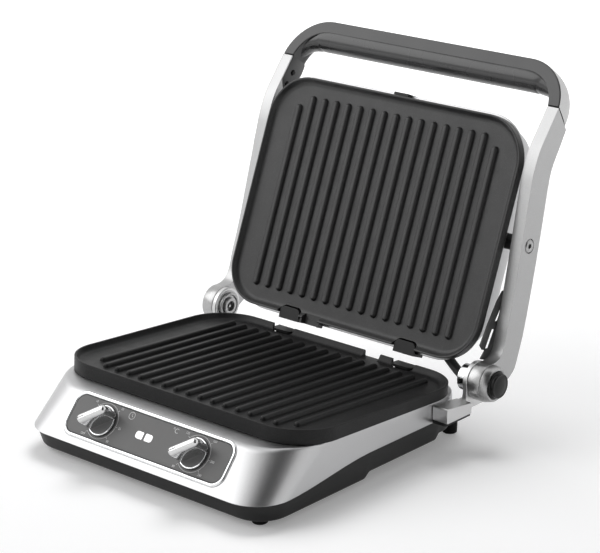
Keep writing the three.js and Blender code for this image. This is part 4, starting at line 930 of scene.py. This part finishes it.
pivotCap = {"radius": 5.8, "gap": 0.75, "sink": 1.6, "proud": 0.5, "low": [(tip, 0), (5.6, 0), (5.8, 0.3)],
            "high": [(5.8, -0.7), (5.2, 0), (2.6, 0), (2.2, -0.3), (2.1, -2.0), (tip, -2.0)]}
armAtPivot = arm["outer"] + leanShift(pivotUp)
capSeat, capTop = armAtPivot - pivotCap["sink"], armAtPivot + pivotCap["proud"]
pocket, bore = pivotCap["radius"] + pivotCap["gap"], pin["shaft"] + pin["play"]
armOutline = smoothLine(arm["front"], 60) + smoothLine(arm["back"], 60)
limb = extrudeOutline("lidArm_right", armOutline, arm["outer"] - arm["thick"], arm["outer"], sidePlacing)
work = bmesh.new()
work.from_mesh(limb.data)
for height in (arm["from"], arm["to"]):  # cuts where the arm starts and stops leaning in
    everything = work.verts[:] + work.edges[:] + work.faces[:]
    bmesh.ops.bisect_plane(work, geom=everything, plane_co=(0, 0, height * mm), plane_no=(0, 0, 1))
work.to_mesh(limb.data)
work.free()
for v in limb.data.vertices:
    v.co.x += leanShift(v.co.z / mm) * mm
combine(limb, [turnedAlongX("pocket", [(pocket, capSeat), (pocket, armAtPivot + 3)], pivotBack, pivotUp),
               turnedAlongX("bore", [(bore, 140), (bore, 170)])])
bakeBevel(limb, arm["round"], 4, 40)
dressPair(limb, castSilver, "lid", "arm_{}")
knuckle = [(bore, arm["knuckle"][0][1])] + arm["knuckle"] + [(bore, arm["knuckle"][-1][1])]
dressPair(turnedAlongX("knuckle_right", knuckle, closed=True), turnedSteel, "lid")
capProfile = [(r, capSeat + x) for r, x in pivotCap["low"]] + [(r, capTop + x) for r, x in pivotCap["high"]]
dressPair(turnedAlongX("pivotCap_right", capProfile, pivotBack, pivotUp), turnedSteel, "lid", "pivot_cap_{}")

# Release collar and its button
release = {"collar": [(12.4, 164.0), (16.3, 164.0), (16.7, 164.3), (16.6, 165.0), (15.0, 170.2), (14.4, 170.8),
                      (13.0, 170.8), (12.4, 170.3)],
           "button": [(tip, 167.4), (12.1, 167.4), (12.1, 171.4), (11.8, 171.8), (11.1, 172.0), (11.1, 174.5),
                      (10.8, 175.1), (10.2, 175.3), (9.7, 175.0), (9.3, 175.0), (7.0, 175.5), (3.5, 175.9),
                      (tip, 176.0)]}
collar = turnedAlongX("releaseCollar", release["collar"], closed=True)
dress(collar, turnedSteel, "lid", ["release_collar"])
button = turnedAlongX("releaseButton", release["button"], angle=40)
dress(button, glossBlack, "release_button", ["release_button"])

# Cable guide on the right arm
guide = {"inner": 148.5, "sheet": 1.5, "edge": 0.4,
         "outline": [(46.5, 130), (41.2, 130.4), (33.5, 122.6), (21.5, 105.8), (10.1, 88.1), (13.4, 83.4), (17.8, 81.8),
                     (10.8, 75.4), (20.6, 71.8), (26.4, 74.6), (30.5, 83), (37, 96), (46.5, 122)],
         "rounds": [1, 3, 8, 8, 2, 1, 0.6, 0.8, 1.2, 0.8, 2, 8, 2],
         "slots": [[(41.4, 119.6), (30.1, 104.3), (35.4, 104.6), (42.5, 117.4)],
                   [(26.6, 99), (31.0, 97.5), (22.3, 82.6), (17.0, 83.1)]], "slotRound": 0.7}
guideInner, guideOuter = guide["inner"], guide["inner"] + guide["sheet"]
guideBody = extrudeOutline("cableGuide", roundCorners(guide["outline"], guide["rounds"], 5), guideInner, guideOuter,
                           sidePlacing)
combine(guideBody, [extrudeOutline("slot", roundCorners(slot, guide["slotRound"], 3), guideInner - 2, guideOuter + 2,
                                   sidePlacing) for slot in guide["slots"]])
bakeBevel(guideBody, guide["edge"], 2, 40)
dress(guideBody, guideGrey, "lid", ["cable_guide"])
print("hinge and arms made")

# Handle: an arched shell with a silver outer band, and an oval grip under its top that fades into the corners
handle = {"back": 102.5, "up": 284.7, "outer": 159.6, "band": 12.0, "top": 40.0, "low": -60, "corner": 45.5,
          "depth": 24.0, "edge": 0.4, "rounds": [15.0, 1.4, 1.2, 6.0], "bandCentre": -10, "bandFacing": 0.05,
          "bandFrom": -0.8, "wedge": [(2, 2.2), (-11, -24), (-12, -30), (-70, -30), (-70, 4)], "wedgeHalf": 175}
grip = {"back": 12.0, "steps": 140, "around": 48,
        "points": [(-151.3, -9), (-151.2, 0), (-148.3, 9), (-141.4, 16.7), (-131.5, 22), (-118, 25), (-70, 25),
                   (0, 25)],
        "sizes": [(3.2, 6.0), (3.6, 6.5), (4.8, 7.6), (7.0, 9.0), (9.8, 10.6), (12.0, 12.0), (12.0, 12.0),
                  (12.0, 12.0)]}
handleFrame = shifted(baseFrame, 0, handle["back"], handle["up"]) @ turned(places["handleLean"])


def archRing(inset, height):
    return ringPoints(handle["outer"] - inset, handle["low"], handle["top"] - inset, 0.3, height,
                      handle["corner"] - inset, steps=24)


def footWedge(name):
    # cuts the arch and the grip off along the slanted ends of the arms
    return extrudeOutline(name, handle["wedge"], -handle["wedgeHalf"], handle["wedgeHalf"], handleFrame @ sideAxes)


band, deep = handle["band"], -handle["depth"]
archRings = [archRing(0, deep), archRing(0, 0), archRing(band, 0), archRing(band, deep)]
arch = loft("handleArch", roundedChain(archRings, handle["rounds"], 8, True), handleFrame, closed=True)
combine(arch, [footWedge("footWedge")])
bakeBevel(arch, handle["edge"], 2, 50)
dress(arch, handleGrey, "lid", ["handle_shell"])
arch.data.materials.append(bandSilver)
intoHandle = handleFrame.inverted()
for polygon in arch.data.polygons:  # faces that look outward and lie behind the front edge are silver
    centre, normal = intoHandle @ polygon.center / mm, intoHandle.to_3x3() @ polygon.normal
    outside = Vector((centre.x, centre.y - handle["bandCentre"], 0)).normalized().dot(normal)
    polygon.material_index = 1 if outside > handle["bandFacing"] and centre.z < handle["bandFrom"] else 0

line = smoothLine(grip["points"] + [(-x, y) for x, y in reversed(grip["points"][:-1])], grip["steps"])
sizes = smoothLine(grip["sizes"] + grip["sizes"][-2::-1], grip["steps"])
gripRings = []
for i, ((x, y), (wide, tall)) in enumerate(zip(line, sizes)):
    side = sideways(line, i)
    gripRings.append([Vector((x, y, -grip["back"])) + side * wide * c + Vector((0, 0, 1)) * tall * s
                      for c, s in turns(grip["around"])])
gripBody = loft("handleGrip", gripRings, handleFrame)
combine(gripBody, [footWedge("gripWedge")])
dress(gripBody, gripGrey, "lid", ["handle_grip"])

# Inner cheeks of the handle with two screws each
cheek = {"inner": 147.1, "sheet": 2.7, "edge": 0.35,
         "outline": [(103.9, 284.0), (87.4, 264.0), (88.4, 254.8), (90.6, 250.2), (97.5, 252), (114.9, 262.6),
                     (121, 272)],
         "rounds": [0.5, 3, 4, 3, 5, 8, 4], "screws": [(102.4, 267.2), (93.7, 257.6)],
         "screw": [(tip, 0), (2.9, 0), (3.0, 0.3), (2.5, 1.1), (1.6, 1.5), (tip, 1.5)],
         "slot": {"half": 0.35, "long": 1.7, "from": 4, "to": 1.0}}
cheekIn, cheekOut, slot = cheek["inner"], cheek["inner"] + cheek["sheet"], cheek["slot"]
cheekPart = sidePart("handleCheek_right", roundCorners(cheek["outline"], cheek["rounds"], 5), cheekIn, cheekOut,
                     cheek["edge"], 2)
dressPair(cheekPart, handleGrey, "lid")
for i, (y, z) in enumerate(cheek["screws"]):
    profile = [(radius, cheekIn - x) for radius, x in cheek["screw"]]
    screw = turnedAlongX("cheekScrew_right_%d" % (i + 1), profile, y, z, 32)
    combine(screw, [boxPart("screwSlot", cheekIn - slot["from"], cheekIn - slot["to"], -a, a, -b, b,
                            shifted(baseFrame, 0, y, z))
                    for a, b in ((slot["half"], slot["long"]), (slot["long"], slot["half"]))])
    dressPair(screw, glossBlack, "lid", "handle_screw_{}_%d" % (i + 1))
print("handle made")

# Upper head shell
head = {"half": 136.0, "end": 5.0, "corner": 36.0, "leastCorner": 12, "depth": 40.0, "round": 11.0, "wall": 2.2,
        "chamferLength": 38.0, "chamferDepth": 18.0, "edgeHalf": 143.2, "edgeLip": 3.5, "edgeSheet": 3.2,
        "edgeSlope": 4.5, "soft": 0.16, "gap": 0.7, "breaks": (60, 75, 110, 150)}
headTop = -plate["upperSkirt"] - head["gap"]


def headBack(y):
    # the flat back and its soft chamfer towards the hinge
    t = (head["end"] + head["chamferLength"] - y) / head["chamferLength"]
    e = head["soft"]
    share = 0 if t < -e else t if t > e else (t + e) ** 2 / (4 * e)
    return -head["depth"] + head["chamferDepth"] * share


def headRing(inset, height):
    return ringPoints(head["half"] - inset, head["end"] + inset, plate["depth"] - head["end"] - inset,
                      max(head["corner"] - inset, head["leastCorner"]), height, steps=14, breaks=head["breaks"])


outward = head["half"] - head["edgeHalf"]
edgeLow = headTop - head["edgeSheet"]
headChain = [headRing(outward + head["edgeLip"], headTop), headRing(outward, headTop), headRing(outward, edgeLow),
             headRing(0, edgeLow - head["edgeSlope"]), headRing(0, headBack), headRing(20, headBack)]
headSkin = roundedChain(headChain, [0, 0.6, 1.6, 3.0, head["round"], 0], 6)
headShell = sheetFrom("headShell", headSkin, 15, len(head["breaks"]), headFrame, head["wall"])
dress(headShell, silverShell, "head", ["upper_housing", "upper_frame"])

# Plate clips: a rounded tab, a stem and a foot
for word, side, placing in (("upper", 1, headFrame), ("lower", -1, lowerFrame)):
    for x, hand in zip(clips[word], ("left", "right")):
        low, high = spanOf(side, -clips["tail"], clips["reach"])
        corners = (0.6, clips["corner"]) if side > 0 else (clips["corner"], 0.6)
        half, clipTop, clipFoot = clips["width"] / 2, -clips["sink"], -clips["foot"][word]
        tab = loft(word + "Clip_" + hand, [blockPoints(x, half, low, high, *corners, z, 8)
                                           for z in (clipTop - clips["sheet"], clipTop)], placing)
        stemSpan = spanOf(side, -clips["tail"], -clips["tail"] + clips["sheet"])
        footSpan = spanOf(side, -clips["tail"], clips["footReach"][word])
        combine(tab, [boxPart("stem", x - half, x + half, *stemSpan, clipFoot - clips["sheet"], clipTop, placing),
                      boxPart("clipFoot", x - half, x + half, *footSpan, clipFoot - clips["sheet"], clipFoot, placing)],
                "UNION")
        bakeBevel(tab, 0.6, 3, 50)
        dress(tab, blackPlastic, "head" if side > 0 else "base", [word + "_clip_" + hand])

# Woven wire sleeve from the boss to the head
sleeve = {"radius": 4.4, "rings": 60, "around": 28, "braid": 0.14,
          "points": [(139.4, 6.8, 57.7), (133.5, 8, 57.0), (125, 12, 58.2), (116, 16.2, 61.0), (108.5, 19.2, 64.4),
                     (104, 20.8, 68.4)]}
sleeveRings = []
for i in range(sleeve["rings"] + 1):
    t = min(i / sleeve["rings"], 0.999)
    here, ahead = onCurve(sleeve["points"], t), onCurve(sleeve["points"], t + 0.001)
    along = (ahead - here).normalized()
    across = along.cross(Vector((0, 0, 1))).normalized()
    up = across.cross(along)
    ring = []
    for k, (c, s) in enumerate(turns(sleeve["around"])):
        weave = sleeve["braid"] * (1 if (i + k) % 2 else -1)
        ring.append(here + (across * c + up * s) * (sleeve["radius"] + weave - sleeve["braid"]))
    sleeveRings.append(ring)
sleeveTube = loft("wireSleeve", sleeveRings, baseFrame, angle=80)
sleeveTube.data.materials.append(wovenSleeve)
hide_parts("wire_sleeve")
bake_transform(sleeveTube)
print("head, clips and sleeve made")

# Floor, lights and camera
studio = {"floorSize": 8.0, "sky": 0.30, "aim": (0, 0, 0.1),
          "cards": {"darkCard": ((0.62, -0.5, 1.55), 1.5), "roomCard": ((1.45, -1.35, 1.05), 2.2)},  # place and size
          "lamps": {"keyLamp": ((-1.37, -0.98, 1.42), 1.8, 17.0, True),  # place, size, power, seen in mirrors
                    "backLamp": ((-0.45, 0.85, 1.9), 1.1, 25.0, False)}}
view = {"place": (1.22535, -1.40646, 0.7698), "azimuth": 41.081, "elevation": 18.706, "lens": 134.6}


def facing(place):
    return (Vector(studio["aim"]) - Vector(place)).to_track_quat("-Z", "Y").to_euler()


bpy.ops.mesh.primitive_plane_add(size=studio["floorSize"])
ground = bpy.context.object
ground.name = "studioFloor"
ground.data.materials.append(floorPaint)

for name, (place, size) in studio["cards"].items():
    bpy.ops.mesh.primitive_plane_add(size=size, location=place, rotation=facing(place))
    card = bpy.context.object
    card.name = name
    card.visible_camera = card.visible_diffuse = card.visible_shadow = card.visible_transmission = False
    card.data.materials.append(cardPaint)

for name, (place, size, power, mirrored) in studio["lamps"].items():
    light = bpy.data.lights.new(name, "AREA")
    light.size, light.energy = size, power
    lamp = addObject(name, light)
    lamp.location, lamp.rotation_euler = place, facing(place)
    lamp.visible_glossy = mirrored

world = bpy.data.worlds.new("studio")
bpy.context.scene.world = world
world.use_nodes = True
sky = world.node_tree
strength = spread(sky, seenRays(sky), studio["sky"], 1.0, 0, 1)
feed(sky, sky.nodes["Background"], {"Color": rgba(1), "Strength": strength})

lens = bpy.data.cameras.new("photoCamera")
lens.lens, lens.sensor_width = view["lens"], 36
camera = addObject("photoCamera", lens)
az, el = math.radians(view["azimuth"]), math.radians(view["elevation"])
towards = -Vector((math.sin(az) * math.cos(el), -math.cos(az) * math.cos(el), math.sin(el)))
camera.location = view["place"]
camera.rotation_euler = towards.to_track_quat("-Z", "Y").to_euler()
bpy.context.scene.camera = camera
bpy.context.scene.view_settings.view_transform = "Standard"
print("floor, lights and camera set")
